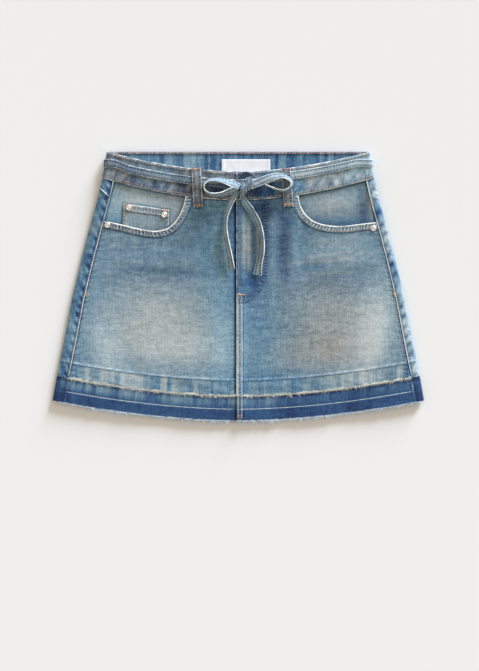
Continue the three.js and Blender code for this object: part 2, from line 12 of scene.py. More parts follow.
import bpy
import numpy as np
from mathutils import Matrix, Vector


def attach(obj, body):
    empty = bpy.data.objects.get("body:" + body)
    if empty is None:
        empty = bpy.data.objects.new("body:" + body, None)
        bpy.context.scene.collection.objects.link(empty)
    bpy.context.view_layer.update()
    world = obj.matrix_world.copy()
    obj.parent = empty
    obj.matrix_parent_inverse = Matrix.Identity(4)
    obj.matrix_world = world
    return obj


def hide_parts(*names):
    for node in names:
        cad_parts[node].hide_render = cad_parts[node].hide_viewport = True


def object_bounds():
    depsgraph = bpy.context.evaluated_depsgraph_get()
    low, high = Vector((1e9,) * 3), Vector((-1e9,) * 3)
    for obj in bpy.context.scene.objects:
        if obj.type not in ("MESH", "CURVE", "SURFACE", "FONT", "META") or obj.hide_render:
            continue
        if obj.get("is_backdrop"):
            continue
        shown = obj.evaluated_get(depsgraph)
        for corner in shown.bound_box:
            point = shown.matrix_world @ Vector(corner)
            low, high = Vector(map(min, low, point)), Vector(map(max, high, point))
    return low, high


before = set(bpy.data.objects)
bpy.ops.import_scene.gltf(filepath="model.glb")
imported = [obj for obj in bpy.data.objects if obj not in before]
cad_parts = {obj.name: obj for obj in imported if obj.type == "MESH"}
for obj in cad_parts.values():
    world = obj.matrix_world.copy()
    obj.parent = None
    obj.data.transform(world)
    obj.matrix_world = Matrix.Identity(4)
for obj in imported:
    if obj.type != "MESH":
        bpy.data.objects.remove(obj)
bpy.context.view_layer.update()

# %% [markdown]
# ## Sizes of the garment
#
# The same driving sizes as the part's source, so each shell fits the solid that it stands for. A garment is
# drafted the same way: a side outline, a waist curve and a hem curve, with everything else hung on them.

# %% Driving sizes in millimetres
MM = 0.001
LENGTH = 388
BAND_DEPTH = 38
TOP_Y = LENGTH / 2
SEAM_GAP = 0.3
DENIM = 1.2
BAND = 2.4
FACING = 1.0
STRAP = 1.2
BELT_WIDTH = 11.5
LOOP_WIDTH = 13.4
STRIP = {"left": 18, "right": 13}
SIGN = {"left": -1, "right": 1}
FOLD_REACH = 7
BAND_FOLD_REACH = 6
LOFT_MIDDLE = 4.7
LOFT_SIDE = 6.1
WAIST_MIDDLE = 8.6
WAIST_SIDE = 9.1
FRONT_RISE_FROM = 0.69
BAND_STEP = 0.7
HEM_DROP = 0.5
BACK_RISE = 3.0
BACK_RISE_FROM = 52
BACK_RISE_TO = 142
BACK_HEM_LIFT = 1.5
LAP_EDGE = -2.7
LAP_UNDER = 5
LAP_RAISE = 1.5
LAP_FADE = (5.4, 14)
LOOPS = {"left": ((-60.6, 171.5), (-57.6, 113.6)), "right": ((68.5, 169), (72.7, 114.5))}
CREASE_TO_RIDGE = 22.5
HEM_TO_STITCH = 17


def table(columns, *rows):
    """Rows of numbers with named columns."""
    names = columns.split()
    return [dict(zip(names, row)) for row in rows]


SIDE_OUTLINE = table(
    "height half",
    (0, 273),
    (60, 262.5),
    (117, 251),
    (175, 240),
    (232, 226.5),
    (275, 215.3),
    (319, 203),
    (350, 196),
    (LENGTH, 189.5),
)
CURVES = {
    "waist_top": {"edge": TOP_Y, "dip": 28.5, "half": 189.5},
    "waist_seam": {"edge": TOP_Y - BAND_DEPTH, "dip": 32, "half": 196},
    "back_waist_top": {"edge": TOP_Y, "dip": 0, "half": 189.5},
    "back_waist_seam": {"edge": TOP_Y - BAND_DEPTH, "dip": 0, "half": 196},
    "crease": {"edge": -129, "dip": 29, "half": 262},
    "hem": {"edge": -165, "dip": 29, "half": 268},
}
CURVE_POWER = 1.8
print("skirt", LENGTH, "mm long,", 2 * SIDE_OUTLINE[0]["half"], "mm at the widest")

# %% Small helpers for shapes
UP = np.array([0, 0, 1.0])
CHANCE_KNOTS = 600
CHANCE_BLOCKS = 400


def mix(a, b, t):
    """a where t is 0, b where t is 1, and a share of each between them."""
    return a + (b - a) * t


def smooth(low, high, value):
    """0 below low and 1 above high, with a soft step between them."""
    t = np.clip((value - low) / (high - low), 0, 1)
    return t * t * (3 - 2 * t)


def bell(distance, width):
    """1 at no distance, and about a third at one width on either side."""
    return np.exp(-((distance / width) ** 2))


def half_width(y):
    """Half the flat width of the skirt at a place along it."""
    heights = [row["height"] for row in SIDE_OUTLINE]
    halves = [row["half"] for row in SIDE_OUTLINE]
    return np.interp(y + TOP_Y, heights, halves)


def curve_y(name, x, offset=0):
    """Height in the picture of one of the curves that run across the skirt."""
    c = CURVES[name]
    return c["edge"] + offset - c["dip"] * (1 - np.minimum(1, np.abs(x) / c["half"]) ** CURVE_POWER)


def curve(name, offset=0):
    """One of those curves as a function of x."""
    return lambda x: curve_y(name, x, offset)


def seam_x(side, y, inside=0.0):
    """Where a side seam lies on the front."""
    return SIGN[side] * (half_width(y) - STRIP[side] - inside)


def wander(place, length, seed):
    """A smooth line of seeded chance between -1 and 1, which turns about every length."""
    knots = np.random.default_rng(seed).uniform(-1, 1, CHANCE_KNOTS)
    at = np.asarray(place) / length + CHANCE_KNOTS / 3
    low = np.floor(at).astype(int) % (CHANCE_KNOTS - 1)
    return mix(knots[low], knots[low + 1], smooth(0, 1, at - np.floor(at)))


def rope(place, wave, seed):
    """The uneven waves that a stitched seam pulls into cloth once it is washed."""
    turns = place / wave + 0.35 * wander(place, 2.5 * wave, seed)
    strength = 0.75 + 0.25 * wander(place, 1.7 * wave, seed + 1)
    return strength * np.sin(2 * np.pi * turns)


def patches(place, width, seed):
    """Uneven blocks of chance between 0 and 1, soft at their borders."""
    rng = np.random.default_rng(seed)
    borders = np.cumsum(rng.uniform(0.45, 1.7, CHANCE_BLOCKS) * width) - CHANCE_BLOCKS / 4 * width
    values = rng.uniform(0, 1, CHANCE_BLOCKS)
    at = np.clip(np.searchsorted(borders, place) - 1, 1, CHANCE_BLOCKS - 2)
    inside = (place - borders[at]) / (borders[at + 1] - borders[at])
    return mix(values[at - 1], values[at], smooth(0, 0.35, inside))


print("half width", half_width(TOP_Y), "mm at the waist and", half_width(-TOP_Y), "mm at the hem")

# %% [markdown]
# ## Lines on the skirt
#
# Seams, pocket edges and rows of stitches are all lines on the front. They are worked out once here, as
# points from the waist to the hem or from left to right. Both the cloth and the thread then use them, so a
# stitch always lies on its own seam.

# %% Helpers for lines
SCOOPS = {
    "left": [(-76, 129.3), (-78.5, 118), (-82, 109), (-87, 99), (-94, 90), (-103, 83.5), (-121, 80),
             (-144, 83.5), (-167, 89), (-186, 93), (-193.9, 94)],
    "right": [(87, 128.5), (88.5, 120), (91, 113), (98.5, 102), (111, 93), (130, 88), (151, 87),
              (172, 89.5), (188, 91.4), (199.1, 92.4)],
}
FLY_TURN = [(41, 124), (41.5, 60), (41, 25), (37, 6), (28, -8), (18, -18), (8, -22), (1, -23)]


def through(points, step=2.0):
    """A smooth line through points, with a place about every step."""
    p = np.asarray(points, float)
    ends = np.vstack([2 * p[0] - p[1], p, 2 * p[-1] - p[-2]])
    made = []
    for a, b, c, d in zip(ends[:-3], ends[1:-2], ends[2:-1], ends[3:]):
        count = max(2, int(np.linalg.norm(c - b) / step))
        t = np.arange(count)[:, None] / count
        made.append(
            0.5 * (2 * b + (c - a) * t + (2 * a - 5 * b + 4 * c - d) * t**2 + (3 * b - a - 3 * c + d) * t**3)
        )
    return np.vstack([*made, p[-1:]])


def downward(x_of_y, high, low, step=5):
    y = np.linspace(high, low, int(abs(high - low) / step) + 2)
    return np.stack([x_of_y(y) * np.ones_like(y), y], 1)


def crosswise(y_of_x, left, right, step=5):
    x = np.linspace(left, right, int(abs(right - left) / step) + 2)
    return np.stack([x, y_of_x(x)], 1)


def beside(line, distance):
    """The line moved sideways, to the left of the way it runs."""
    ahead = np.gradient(line, axis=0)
    ahead /= np.linalg.norm(ahead, axis=1)[:, None]
    return line + distance * np.stack([-ahead[:, 1], ahead[:, 0]], 1)


def distances(line):
    """How far along a line each of its points is."""
    return np.concatenate([[0], np.cumsum(np.linalg.norm(np.diff(line, axis=0), axis=1))])


def near_line(x, y, line):
    """Distance from each point to a line, and how far along the line the nearest place is."""
    points = np.stack([np.ravel(x), np.ravel(y)], 1)
    best = np.full(len(points), 1e9)
    place = np.zeros(len(points))
    run = 0.0
    for a, b in zip(line[:-1], line[1:]):
        step = b - a
        length = np.linalg.norm(step)
        t = np.clip((points - a) @ step / length**2, 0, 1)
        gap = np.linalg.norm(points - a - t[:, None] * step, axis=1)
        closer = gap < best
        best[closer] = gap[closer]
        place[closer] = (run + t * length)[closer]
        run += length
    return best.reshape(np.shape(x)), place.reshape(np.shape(x))


print("the left pocket edge is", round(distances(through(SCOOPS["left"]))[-1]), "mm long")

# %% Lines
LINES = {
    "pocket_left": through(SCOOPS["left"]),
    "pocket_right": through(SCOOPS["right"]),
    "side_left": downward(lambda y: seam_x("left", y), 156, -166),
    "side_right": downward(lambda y: seam_x("right", y), 156, -166),
    "waist": crosswise(curve("waist_seam"), -196, 196),
    "crease": crosswise(curve("crease"), -262, 262),
    "ridge": crosswise(curve("crease", CREASE_TO_RIDGE), -258, 258),
    "hem_stitch": crosswise(curve("hem", HEM_TO_STITCH), -266, 266),
    "centre": downward(lambda y: LAP_EDGE, 124, -196),
    "fly": beside(through(FLY_TURN), -2.8),
    "placket": downward(lambda y: LAP_EDGE + 4.6, -13, -192),
    "tuck": np.array([(-199, 141.5), (-186.5, 130)]),
    "band_top": crosswise(curve("waist_top"), -189.5, 189.5),
    "band_end": downward(lambda y: LAP_EDGE + 0.6, 167, 130),
}
print(len(LINES), "lines")

# %% [markdown]
# ## Height of the cloth
#
# A skirt that lies flat is still not flat. Its layers lift it at the sides and the waist, the fly laps over,
# and washing leaves soft creases. Each crease is a line with a width and a height, placed from the
# photograph, and no two are alike.

# %% Creases
CREASE_COLUMNS = "x0 y0 x1 y1 width height"
CREASES = table(
    CREASE_COLUMNS,
    (63, 106, 66, 20, 9, -0.8),
    (50, 90, 48, 10, 8, 0.5),
    (97, 88, 95, 20, 10, -0.5),
    (-62, 108, -48, 48, 10, -0.4),
    (-22, 100, -26, 25, 9, -0.5),
    (-150, 45, -60, 38, 11, 0.45),
    (-165, 20, -85, 8, 10, -0.4),
    (105, 42, 175, 52, 11, 0.45),
    (115, 8, 190, 22, 10, -0.4),
    (-210, -60, -190, -118, 12, 0.5),
    (205, -50, 188, -116, 12, 0.5),
    (25, -143, 85, -141, 5, 0.5),
)
SMALL_CREASES = table(
    CREASE_COLUMNS,
    (78, 84, 80, 40, 6, 0.35),
    (12, 112, 14, 30, 4.5, 0.4),
    (20, 104, 21, 24, 3.6, -0.45),
    (28, 100, 27, 30, 3.4, 0.35),
    (-52, 112, -40, 86, 5, -0.5),
    (-44, 116, -30, 98, 4, 0.35),
    (82, 112, 88, 84, 4, 0.4),
    (-12, 118, -14, 50, 5, -0.3),
    (-140, 62, -70, 56, 6, -0.3),
    (-178, 70, -120, 58, 7, 0.3),
    (-176, 40, -112, 30, 6, 0.28),
    (-120, 20, -50, 16, 7, -0.3),
    (-196, 4, -150, -6, 7, -0.25),
    (110, 66, 182, 72, 6, 0.3),
    (100, 30, 150, 34, 6, -0.3),
    (128, 28, 196, 36, 6, 0.28),
    (140, -8, 204, 2, 8, -0.3),
    (-70, -70, -66, -126, 10, 0.25),
    (-160, -80, -150, -130, 12, -0.3),
    (80, -60, 76, -120, 11, -0.3),
    (150, -85, 146, -128, 10, 0.28),
    (6, 14, 18, -12, 4, 0.5),
    (14, 20, 24, 2, 3.2, -0.4),
)
HEM_WAVE = 0.5
HEM_WAVE_LENGTH = 84


def crease_height(x, y, creases):
    z = np.zeros(np.broadcast(x, y).shape)
    for c in creases:
        dx = c["x1"] - c["x0"]
        dy = c["y1"] - c["y0"]
        t = np.clip(((x - c["x0"]) * dx + (y - c["y0"]) * dy) / (dx * dx + dy * dy), 0, 1)
        gap = np.hypot(x - c["x0"] - t * dx, y - c["y0"] - t * dy)
        z += c["height"] * bell(gap, c["width"])
    return z


def outwardness(x, y):
    return smooth(0.5, 0.93, np.abs(x) / half_width(y))


def front_top(x, y):
    """Outer surface of the front cloth, as the packed solid has it."""
    hem = curve_y("hem", x)
    up = (y - hem) / (curve_y("waist_seam", x) - hem)
    outward = outwardness(x, y)
    low = mix(LOFT_MIDDLE, LOFT_SIDE, outward)
    high = mix(WAIST_MIDDLE, WAIST_SIDE, outward)
    wave = HEM_WAVE * np.sin(2 * np.pi * x / HEM_WAVE_LENGTH) * (1 - smooth(0, 0.16, up))
    level = mix(low, high, smooth(FRONT_RISE_FROM, 1, up))
    return level + crease_height(x, y, CREASES) + wave * (1 - outward)


def lap_raise(x):
    return LAP_RAISE * (1 - smooth(*LAP_FADE, x))


def band_top(x, y):
    return mix(WAIST_MIDDLE, WAIST_SIDE, outwardness(x, y)) + BAND_STEP


def back_bottom(y):
    return BACK_RISE * smooth(BACK_RISE_FROM, BACK_RISE_TO, y)


print("front stands", round(float(front_top(0, 0)), 2), "mm off the table at its middle")

# %% [markdown]
# ## What a seam does to denim
#
# Denim is dyed with indigo on the outside of its yarns. Wear rubs the dye off what stands up and spares what
# lies low. A stitched seam shrinks in the wash and pulls the cloth beside it into small waves, and these fade
# on their crests: the roping that shows along every seam of worn jeans. So one row of a table says for each
# seam how wide its folded band is, how high it stands, how long its waves are, how it has faded, and how much
# painted shade darkens its border. The same row shapes the cloth and colours it.

# %% Seams of the front
# reach, lift and band are the folded band's width, height and tone. wave, slant, at, spread and pucker are
# the waves' length, lean, place, width and height. tone and crest fade and wear the waves. The column after
# crest paints a dark line along the band's border, painted shade and indigo kept in that hollow together,
# with a painted highlight just inside it. edge and edge_width wear the line itself.
SEAM_COLUMNS = "line reach lift band wave slant at spread pucker tone crest groove edge edge_width"
RIDGE = ("ridge", 0.8, 0.35, 0, 4.2, 0, 1.6, 1.2, 0.1, 0.06, 0, 0, 0, 1.0)
CREASE = ("crease", 1.0, 0, 0, 6, 0, 0, 2.5, 0.2, 0.1, 0.2, 0, 1.0, 2.1)
FRONT_SEAMS = {
    "left": table(
        SEAM_COLUMNS,
        ("pocket_left", 9.4, 0.5, 0.04, 4.4, 0.35, 5, 3.2, 0.3, 0.8, 0.6, -0.36, 1.0, 2.1),
        ("side_left", 1.3, -0.3, -0.3, 7.5, 0.4, 3, 4, 0.16, 0.1, 0, 0, 0, 1),
        # The waist row's darker band is a painted shadow under the waistband's edge.
        ("waist", 1.2, -0.2, -0.3, 9, 0.5, 3, 4, 0.16, 0.1, 0, 0, 0, 1),
        RIDGE,
        CREASE,
        # The centre row's dark band is a painted shadow in the gap under the fly's lapped edge.
        ("centre", 3.2, -0.2, -0.5, 7, 0, 6, 4, 0.12, 0.06, 0, -0.1, 0, 1),
    ),
    "right": table(
        SEAM_COLUMNS,
        ("pocket_right", 9.4, 0.5, 0.16, 4.2, 0.35, 5, 3.2, 0.3, 0.72, 0.6, -0.36, 0.9, 1.8),
        ("side_right", 1.3, -0.3, -0.3, 6.8, 0.4, 4, 4, 0.16, 0.1, 0, 0, 0, 1),
        # The waist row's darker band is a painted shadow under the waistband's edge.
        ("waist", 1.2, -0.2, -0.3, 8, 0.5, 3, 4, 0.16, 0.1, 0, 0, 0, 1),
        RIDGE,
        CREASE,
        ("centre", 0.9, 0.1, 0, 5, 0, 3.2, 2, 0.2, 0.2, 0.1, -0.02, 0.8, 1.3),
        ("fly", 3.2, 0.15, -0.1, 4.6, 0.2, 0, 4, 0.3, 0.36, 0.12, -0.12, 0, 1),
        ("placket", 4.6, 0.3, 0.14, 3.8, 0.5, 0, 3.4, 0.22, 0.26, 0.2, -0.25, 0, 1),
    ),
}
print({side: len(seams) for side, seams in FRONT_SEAMS.items()}, "seams on the fronts")

# %% Seam effects


def seam_effects(x, y, seams, seed=1):
    """Height, tone and worn edge that a list of seams adds to cloth at these points."""
    height = np.zeros(np.shape(x))
    tone = np.zeros(np.shape(x))
    worn = np.zeros(np.shape(x))
    for number, s in enumerate(seams):
        line = LINES[s["line"]] if isinstance(s["line"], str) else s["line"]
        gap, place = near_line(x, y, line)
        waves = rope(place + s["slant"] * gap, s["wave"], seed + 10 * number)
        where = bell(gap - s["at"], s["spread"])
        inside = 1 - smooth(s["reach"] - 0.7, s["reach"] + 0.7, gap)
        height += s["lift"] * inside + s["pucker"] * waves * where
        marks = np.where(waves > 0, 0.7 * waves, -1.5 * waves**2)
        tone += s["band"] * inside + s["tone"] * marks * where
        # Painted shade and kept indigo just outside the band's border, and a painted highlight just inside
        # it.
        tone += s["groove"] * (bell(gap - s["reach"] - 0.5, 1.1) - 0.7 * bell(gap - s["reach"] + 1.2, 0.8))
        width = s["edge_width"] * (1 + 0.5 * wander(place, 5, seed + 3 * number))
        worn += s["edge"] * bell(gap, width) * (1 + 0.45 * wander(place, 9, seed + 7 * number))
        worn += s["crest"] * np.clip(waves, 0, 1) * where
    return height, tone, worn


def front_height(side, x, y):
    """The front's finished surface: creases, puckers, folded bands and the lap of the fly."""
    z = front_top(x, y) + crease_height(x, y, SMALL_CREASES)
    z += seam_effects(x, y, FRONT_SEAMS[side])[0]
    below_ridge = curve_y("crease", x, CREASE_TO_RIDGE) - y
    z += 0.3 * smooth(-0.5, 1.0, below_ridge) + 0.3 * (patches(x, 8, 5) - 0.5) * smooth(0, 4, below_ridge)
    return z + (lap_raise(x) if side == "right" else 0)


def hem_height(side, x, y):
    """The let-down hem below the worn crease."""
    z = front_top(x, y) - HEM_DROP
    stitch_gap = y - curve_y("hem", x, HEM_TO_STITCH)
    z += 0.22 * rope(x, 9, 61) * bell(stitch_gap, 5) - 0.25 * bell(stitch_gap, 1.2)
    z += 0.22 * wander(x, 16, 62) * (1 - smooth(-17, -9, stitch_gap))
    return z + (lap_raise(x) if side == "right" else 0)


spot = np.array([-100.0])
print("front stands", front_height("left", spot, spot).round(2), "mm up at one spot")

# %% [markdown]
# ## Fades
#
# The wash has bleached both thighs to a grey beige, left the middle bluer, and kept the cloth dark by the fly
# and in the creases. A few soft ovals, each with a lightness and a greyness, give that without any picture.
# Their values are kept on the mesh as named attributes: tone, where 0 is raw indigo and 1 nearly white; grey,
# which takes the blue out; and worn, which bares the white core of the yarns.

# %% Fades
FADE_COLUMNS = "x y wide tall turn tone grey"
FADES = table(
    FADE_COLUMNS,
    (-122, -42, 66, 50, 4, 0.26, 0.6),
    (-100, -92, 88, 32, 2, 0.24, 0.35),
    (-60, -50, 30, 60, 0, 0.04, 0.15),
    (-190, -80, 26, 60, 12, 0.15, 0.0),
    (-175, 30, 26, 40, 8, 0.02, 0.1),
    (-150, 62, 46, 14, -4, 0.05, 0.15),
    (-30, 20, 22, 90, 0, 0.05, -0.25),
    (-22, -90, 18, 60, 0, 0.10, -0.3),
    (-95, 30, 60, 12, -6, -0.09, 0.0),
    (-130, 12, 50, 9, -7, -0.04, 0.1),
    (135, -45, 60, 52, -4, 0.13, 0.75),
    (120, -98, 80, 28, 2, 0.13, 0.5),
    (196, -60, 30, 76, -12, 0.38, 0.15),
    (150, 62, 44, 13, 4, 0.13, 0.15),
    (162, 42, 34, 9, 6, 0.08, 0.15),
    (90, 40, 14, 46, 0, 0.05, 0.0),
    (63, 50, 10, 60, 0, -0.13, 0.25),
    (38, 60, 10, 60, 0, -0.12, 0.12),
    (110, 4, 40, 14, 4, -0.07, 0.15),
    (18, 2, 16, 22, 0, -0.13, -0.2),
    (30, -85, 22, 56, 0, -0.03, -0.25),
    (48, -142, 46, 14, 0, -0.18, -0.3),
    (12, 60, 7, 42, 0, 0.08, 0.3),
    (-22, 68, 12, 40, 0, 0.07, -0.3),
    (8, 62, 3.2, 38, 0, 0.17, 0.4),
    (15.5, 58, 3.2, 36, 0, 0.18, 0.4),
    (29, 62, 3, 30, 4, 0.12, 0.4),
    (3, 60, 2.5, 60, 0, -0.08, 0),
    (11.5, 60, 2, 40, 0, -0.12, 0),
    (22, 70, 4, 46, 0, -0.14, 0),
    (26, 112, 26, 12, 0, -0.3, -0.1),
    (-135, 82, 36, 5, -6, -0.04, 0.6),
    (160, 80, 36, 4, 3, 0.05, 0.2),
    (-2.6, -130, 1.6, 70, 0, 0.34, 0),
    (64, 60, 18, 40, 0, -0.05, 0),
    (140, -92, 60, 24, 0, -0.07, 0.1),
    (-28, 102, 34, 30, 0, -0.03, -0.1),
    (-135, 52, 12, 26, 4, -0.08, 0),
    (-158, 58, 8, 18, 10, -0.07, 0),
    (74, 92, 9, 18, 8, -0.1, 0),
    (14, 8, 18, 20, 0, -0.15, -0.1),
    (-125, 34, 44, 3.2, -5, 0.10, 0.1),
    (-112, 22, 50, 3, -4, -0.08, 0),
    (-98, 46, 40, 3, -8, -0.07, 0),
    (118, 36, 44, 3.4, 5, 0.12, 0.3),
    (128, 46, 30, 2.6, 6, 0.1, 0.3),
    (105, 26, 40, 3, 3, -0.07, 0),
    (140, 20, 40, 3, 4, 0.08, 0.2),
)
BASE_TONE = 0.46
print(len(FADES), "fades on the fronts")

# %% Look of the fronts


def faded(x, y, fades):
    tone = np.zeros(np.shape(x))
    grey = np.zeros(np.shape(x))
    for f in fades:
        turn = math.radians(f["turn"])
        along = (x - f["x"]) * math.cos(turn) + (y - f["y"]) * math.sin(turn)
        up = (y - f["y"]) * math.cos(turn) - (x - f["x"]) * math.sin(turn)
        share = np.exp(-((along / f["wide"]) ** 2) - (up / f["tall"]) ** 2)
        tone += f["tone"] * share
        grey += f["grey"] * share
    return tone, grey


def painted_loop_shadow(x, y):
    """Painted contact shadow beside a belt loop: 1 right at its edge and 0 farther off."""
    shade = np.zeros(np.shape(x))
    for top, (low_x, low_y) in LOOPS.values():
        gap, _ = near_line(x, y, np.array([top, (low_x, low_y + LOOP_WIDTH / 2)]))
        shade = np.maximum(shade, bell(gap - LOOP_WIDTH / 2 - 0.8, 1.5))
    return shade


def hem_band(x, y, tone, grey):
    """The band between the old stitch ridge and the crease, with its soft blue and pale patches."""
    below_ridge = curve_y("crease", x, CREASE_TO_RIDGE) - y
    inside = smooth(0, 2.5, below_ridge)
    lean = x + 0.25 * wander(y, 9, 9)
    blue = 0.7 * patches(lean, 8, 5) + 0.3 * patches(lean, 3.5, 6) - 0.45
    tone = tone + inside * (0.08 - 0.46 * blue + 0.04 * rope(x, 4, 8) + 0.08 * wander(x + 3 * y, 12, 7))
    tone -= (0.12 + 0.2 * rope(x, 3.6, 21)) * bell(below_ridge - 0.2, 1.0)
    tone += (0.22 + 0.14 * wander(x, 5, 22) + 0.1 * rope(x, 3.6, 21)) * bell(below_ridge + 2.0, 1.2)
    return tone, grey + inside * (0.15 - 0.7 * blue)


def front_look(side, x, y):
    """Tone, greyness and wear of a front panel."""
    tone, grey = faded(x, y, FADES)
    tone += BASE_TONE + 0.12 * (crease_height(x, y, SMALL_CREASES) + crease_height(x, y, CREASES))
    # Painted contact shadow beside the belt loops.
    tone -= 0.26 * painted_loop_shadow(x, y)
    _, seam_tone, worn = seam_effects(x, y, FRONT_SEAMS[side])
    tone, grey = hem_band(x, y, tone + seam_tone, grey)
    return tone, np.clip(0.12 + grey, 0, 1), worn


print("tone, grey and wear", [float(v.round(2)[0]) for v in front_look("left", spot, spot)])

# %% Look of the hem
HEM_SEAMS = table(
    SEAM_COLUMNS,
    ("side_left", 2.2, 0.2, 0.06, 5, 0, 2.5, 3, 0.16, 0.12, 0.1, -0.16, 0.45, 0.7),
    ("side_right", 2.2, 0.2, 0.06, 5, 0, 2.5, 3, 0.16, 0.12, 0.1, -0.16, 0.45, 0.7),
    ("placket", 4.6, 0.25, 0.14, 3.8, 0.5, 0, 3.4, 0.16, 0.22, 0.2, -0.2, 0, 1),
)


def hem_look(x, y):
    """The let-down hem: dark where the fold once hid it, with paler streaks under the crease."""
    under = curve_y("crease", x) - y
    stitch_gap = y - curve_y("hem", x, HEM_TO_STITCH)
    lean = x + 0.12 * under
    streak = (0.6 * patches(lean, 7, 12) + 0.4 * patches(lean, 3, 13)) * (1 - smooth(8, 21, under))
    streak = streak * (1 - 0.6 * smooth(20, 70, x))
    tone = 0.13 + 0.5 * streak + 0.04 * rope(lean, 4, 14) * (1 - smooth(10, 20, under))
    tone -= 0.03 * smooth(20, 90, x) * (1 - smooth(14, 20, under))
    outside = smooth(-1, 1, np.maximum(seam_x("left", y) - x, x - seam_x("right", y)))
    tone -= 0.1 * outside
    tone += 0.1 * (patches(x, 14, 15) - 0.5) + 0.26 * bell(stitch_gap, 0.8) * (1 - 0.7 * outside)
    tone -= 0.04 * (1 - smooth(-3, 1, stitch_gap))
    # Painted shadow in a dark line just below the worn crease.
    tone -= 0.2 * bell(under - 3, 2.0)
    _, seam_tone, worn = seam_effects(x, y, HEM_SEAMS, 66)
    crease_wear = bell(under, 1.2 * (1 + 0.6 * wander(x, 3, 16))) * (1 + 0.3 * wander(x, 7, 17))
    worn = worn + 1.1 * crease_wear * (1 - 0.75 * outside)
    raw_edge = bell(y - curve_y("hem", x), 1.2 * (1 + 0.7 * wander(x, 3, 18)))
    worn += 0.75 * raw_edge * (0.5 + 0.8 * patches(x, 2.6, 19))
    worn += 0.3 * bell(stitch_gap, 0.6) * (1 - outside)
    grey = 0.02 + 0.3 * streak
    return tone + seam_tone, grey, worn


print("tone, grey and wear", [float(v.round(2)[0]) for v in hem_look(spot, 1.8 * spot)])

# %% [markdown]
# ## A shell of cloth
#
# Cloth is modelled as a closed thin shell: an outer grid of points, an inner one a cloth's thickness behind
# it, and a narrow rim between them. The grid follows the piece's own edges and is closest beside the seams,
# where the puckers are. Numpy works out all the points at once, which is far quicker than a loop over them.

# %% Meshes
SHARP_ANGLE = 48


def spread(length, step, near, edge, dense=()):
    """Places from 0 to 1. Steps are near long within edge of both ends and in the dense stretches."""
    s = np.linspace(0, length, 3000)
    local = near + (step - near) * smooth(0.6 * edge, 1.4 * edge, np.minimum(s, length - s))
    for low, high in dense:
        local = np.where((s > low) & (s < high), np.minimum(local, near), local)
    run = np.concatenate([[0], np.cumsum((1 / local[:-1] + 1 / local[1:]) / 2 * np.diff(s))])
    return np.interp(np.linspace(0, run[-1], int(round(run[-1])) + 1), run, s) / length


def mesh_object(name, points, faces, material, attributes=None):
    """A smooth mesh in metres, with named values kept on its points."""
    mesh = bpy.data.meshes.new(name)
    mesh.from_pydata((np.asarray(points) * MM).tolist(), [], faces)
    for key, values in (attributes or {}).items():
        if np.ndim(values) == 2:
            mesh.attributes.new(key, "FLOAT_VECTOR", "POINT").data.foreach_set("vector", np.ravel(values))
        else:
            mesh.attributes.new(key, "FLOAT", "POINT").data.foreach_set("value", np.ravel(values))
    mesh.shade_smooth()
    mesh.set_sharp_from_angle(angle=math.radians(SHARP_ANGLE))
    mesh.materials.append(material)
    made = bpy.data.objects.new(name, mesh)
    bpy.context.scene.collection.objects.link(made)
    return made


def turned_out(points, faces):
    """The same faces, turned so that they look out of the closed form."""
    corners = np.asarray([points[list(f[:3])] for f in faces])
    volume = np.einsum("ij,ij->i", corners[:, 0], np.cross(corners[:, 1], corners[:, 2])).sum()
    return faces if volume > 0 else [f[::-1] for f in faces]


print("an edge of 250 mm has", len(spread(250, 1.9, 0.8, 11)), "places")

# %% Shells
MASKS = ("tone", "grey", "worn")


def shell(name, outer, inner, material, look, inner_look, weave):
    """A closed cloth wall between two grids. look holds tone, grey and worn for each grid."""
    rows, cols = outer.shape[:2]
    number = np.arange(rows * cols).reshape(rows, cols)
    a, b, c, d = number[:-1, :-1], number[:-1, 1:], number[1:, 1:], number[1:, :-1]
    faces = np.stack([a, b, c, d], -1).reshape(-1, 4).tolist()
    faces += (np.stack([d, c, b, a], -1) + rows * cols).reshape(-1, 4).tolist()
    rim = np.concatenate([number[0, :], number[1:, -1], number[-1, -2::-1], number[-2::-1, 0]])
    behind = rim + rows * cols
    faces += np.stack([rim[1:], rim[:-1], behind[:-1], behind[1:]], -1).tolist()
    points = np.concatenate([outer.reshape(-1, 3), inner.reshape(-1, 3)])
    values = {key: np.concatenate([np.ravel(p), np.ravel(q)]) for key, p, q in zip(MASKS, look, inner_look)}
    values["weave"] = np.concatenate([weave.reshape(-1, 3)] * 2) * MM
    return mesh_object(name, points, turned_out(points, faces), material, values)


RIM_DEPTH = 0.35
RIM_SHARES = (1.0, 0.3)


def roll_rim(outer):
    """Rounds the outer surface down in the two rows of points at each folded or cut edge."""
    drop = np.zeros(outer.shape[:2])
    for k, share in enumerate(RIM_SHARES):
        for row in (np.s_[k, :], np.s_[-1 - k, :], np.s_[:, k], np.s_[:, -1 - k]):
            drop[row] = np.maximum(drop[row], share)
    return outer - RIM_DEPTH * drop[..., None] * UP


INSIDE_TONE = 0.62
INSIDE_GREY = 0.35


def inside_look(x, tone=INSIDE_TONE, grey=INSIDE_GREY):
    """The paler side of denim, where the undyed weft shows."""
    return [0 * x + tone, 0 * x + grey, 0 * x]


print("inside of denim: tone", INSIDE_TONE, "and grey", INSIDE_GREY)

# %% [markdown]
# ## Materials of the denim
#
# Two groups are shared by every denim. "Denim weave" draws the cloth itself: fine twill lines, the thicker
# and thinner warp yarns that give denim its vertical streaks, and a soft mottle. "Denim dye" turns tone, grey
# and worn into colour. The grids' own values feed them through attributes, in the cloth's own directions, so
# the twill runs along a strap and round a fold as it does on real cloth.

# %% Colours


def linear(red, green, blue):
    """A screen colour, 0 to 255, as the linear colour that a shader takes."""
    c = np.array([red, green, blue]) / 255
    return (*np.where(c <= 0.04045, c / 12.92, ((c + 0.055) / 1.055) ** 2.4), 1.0)


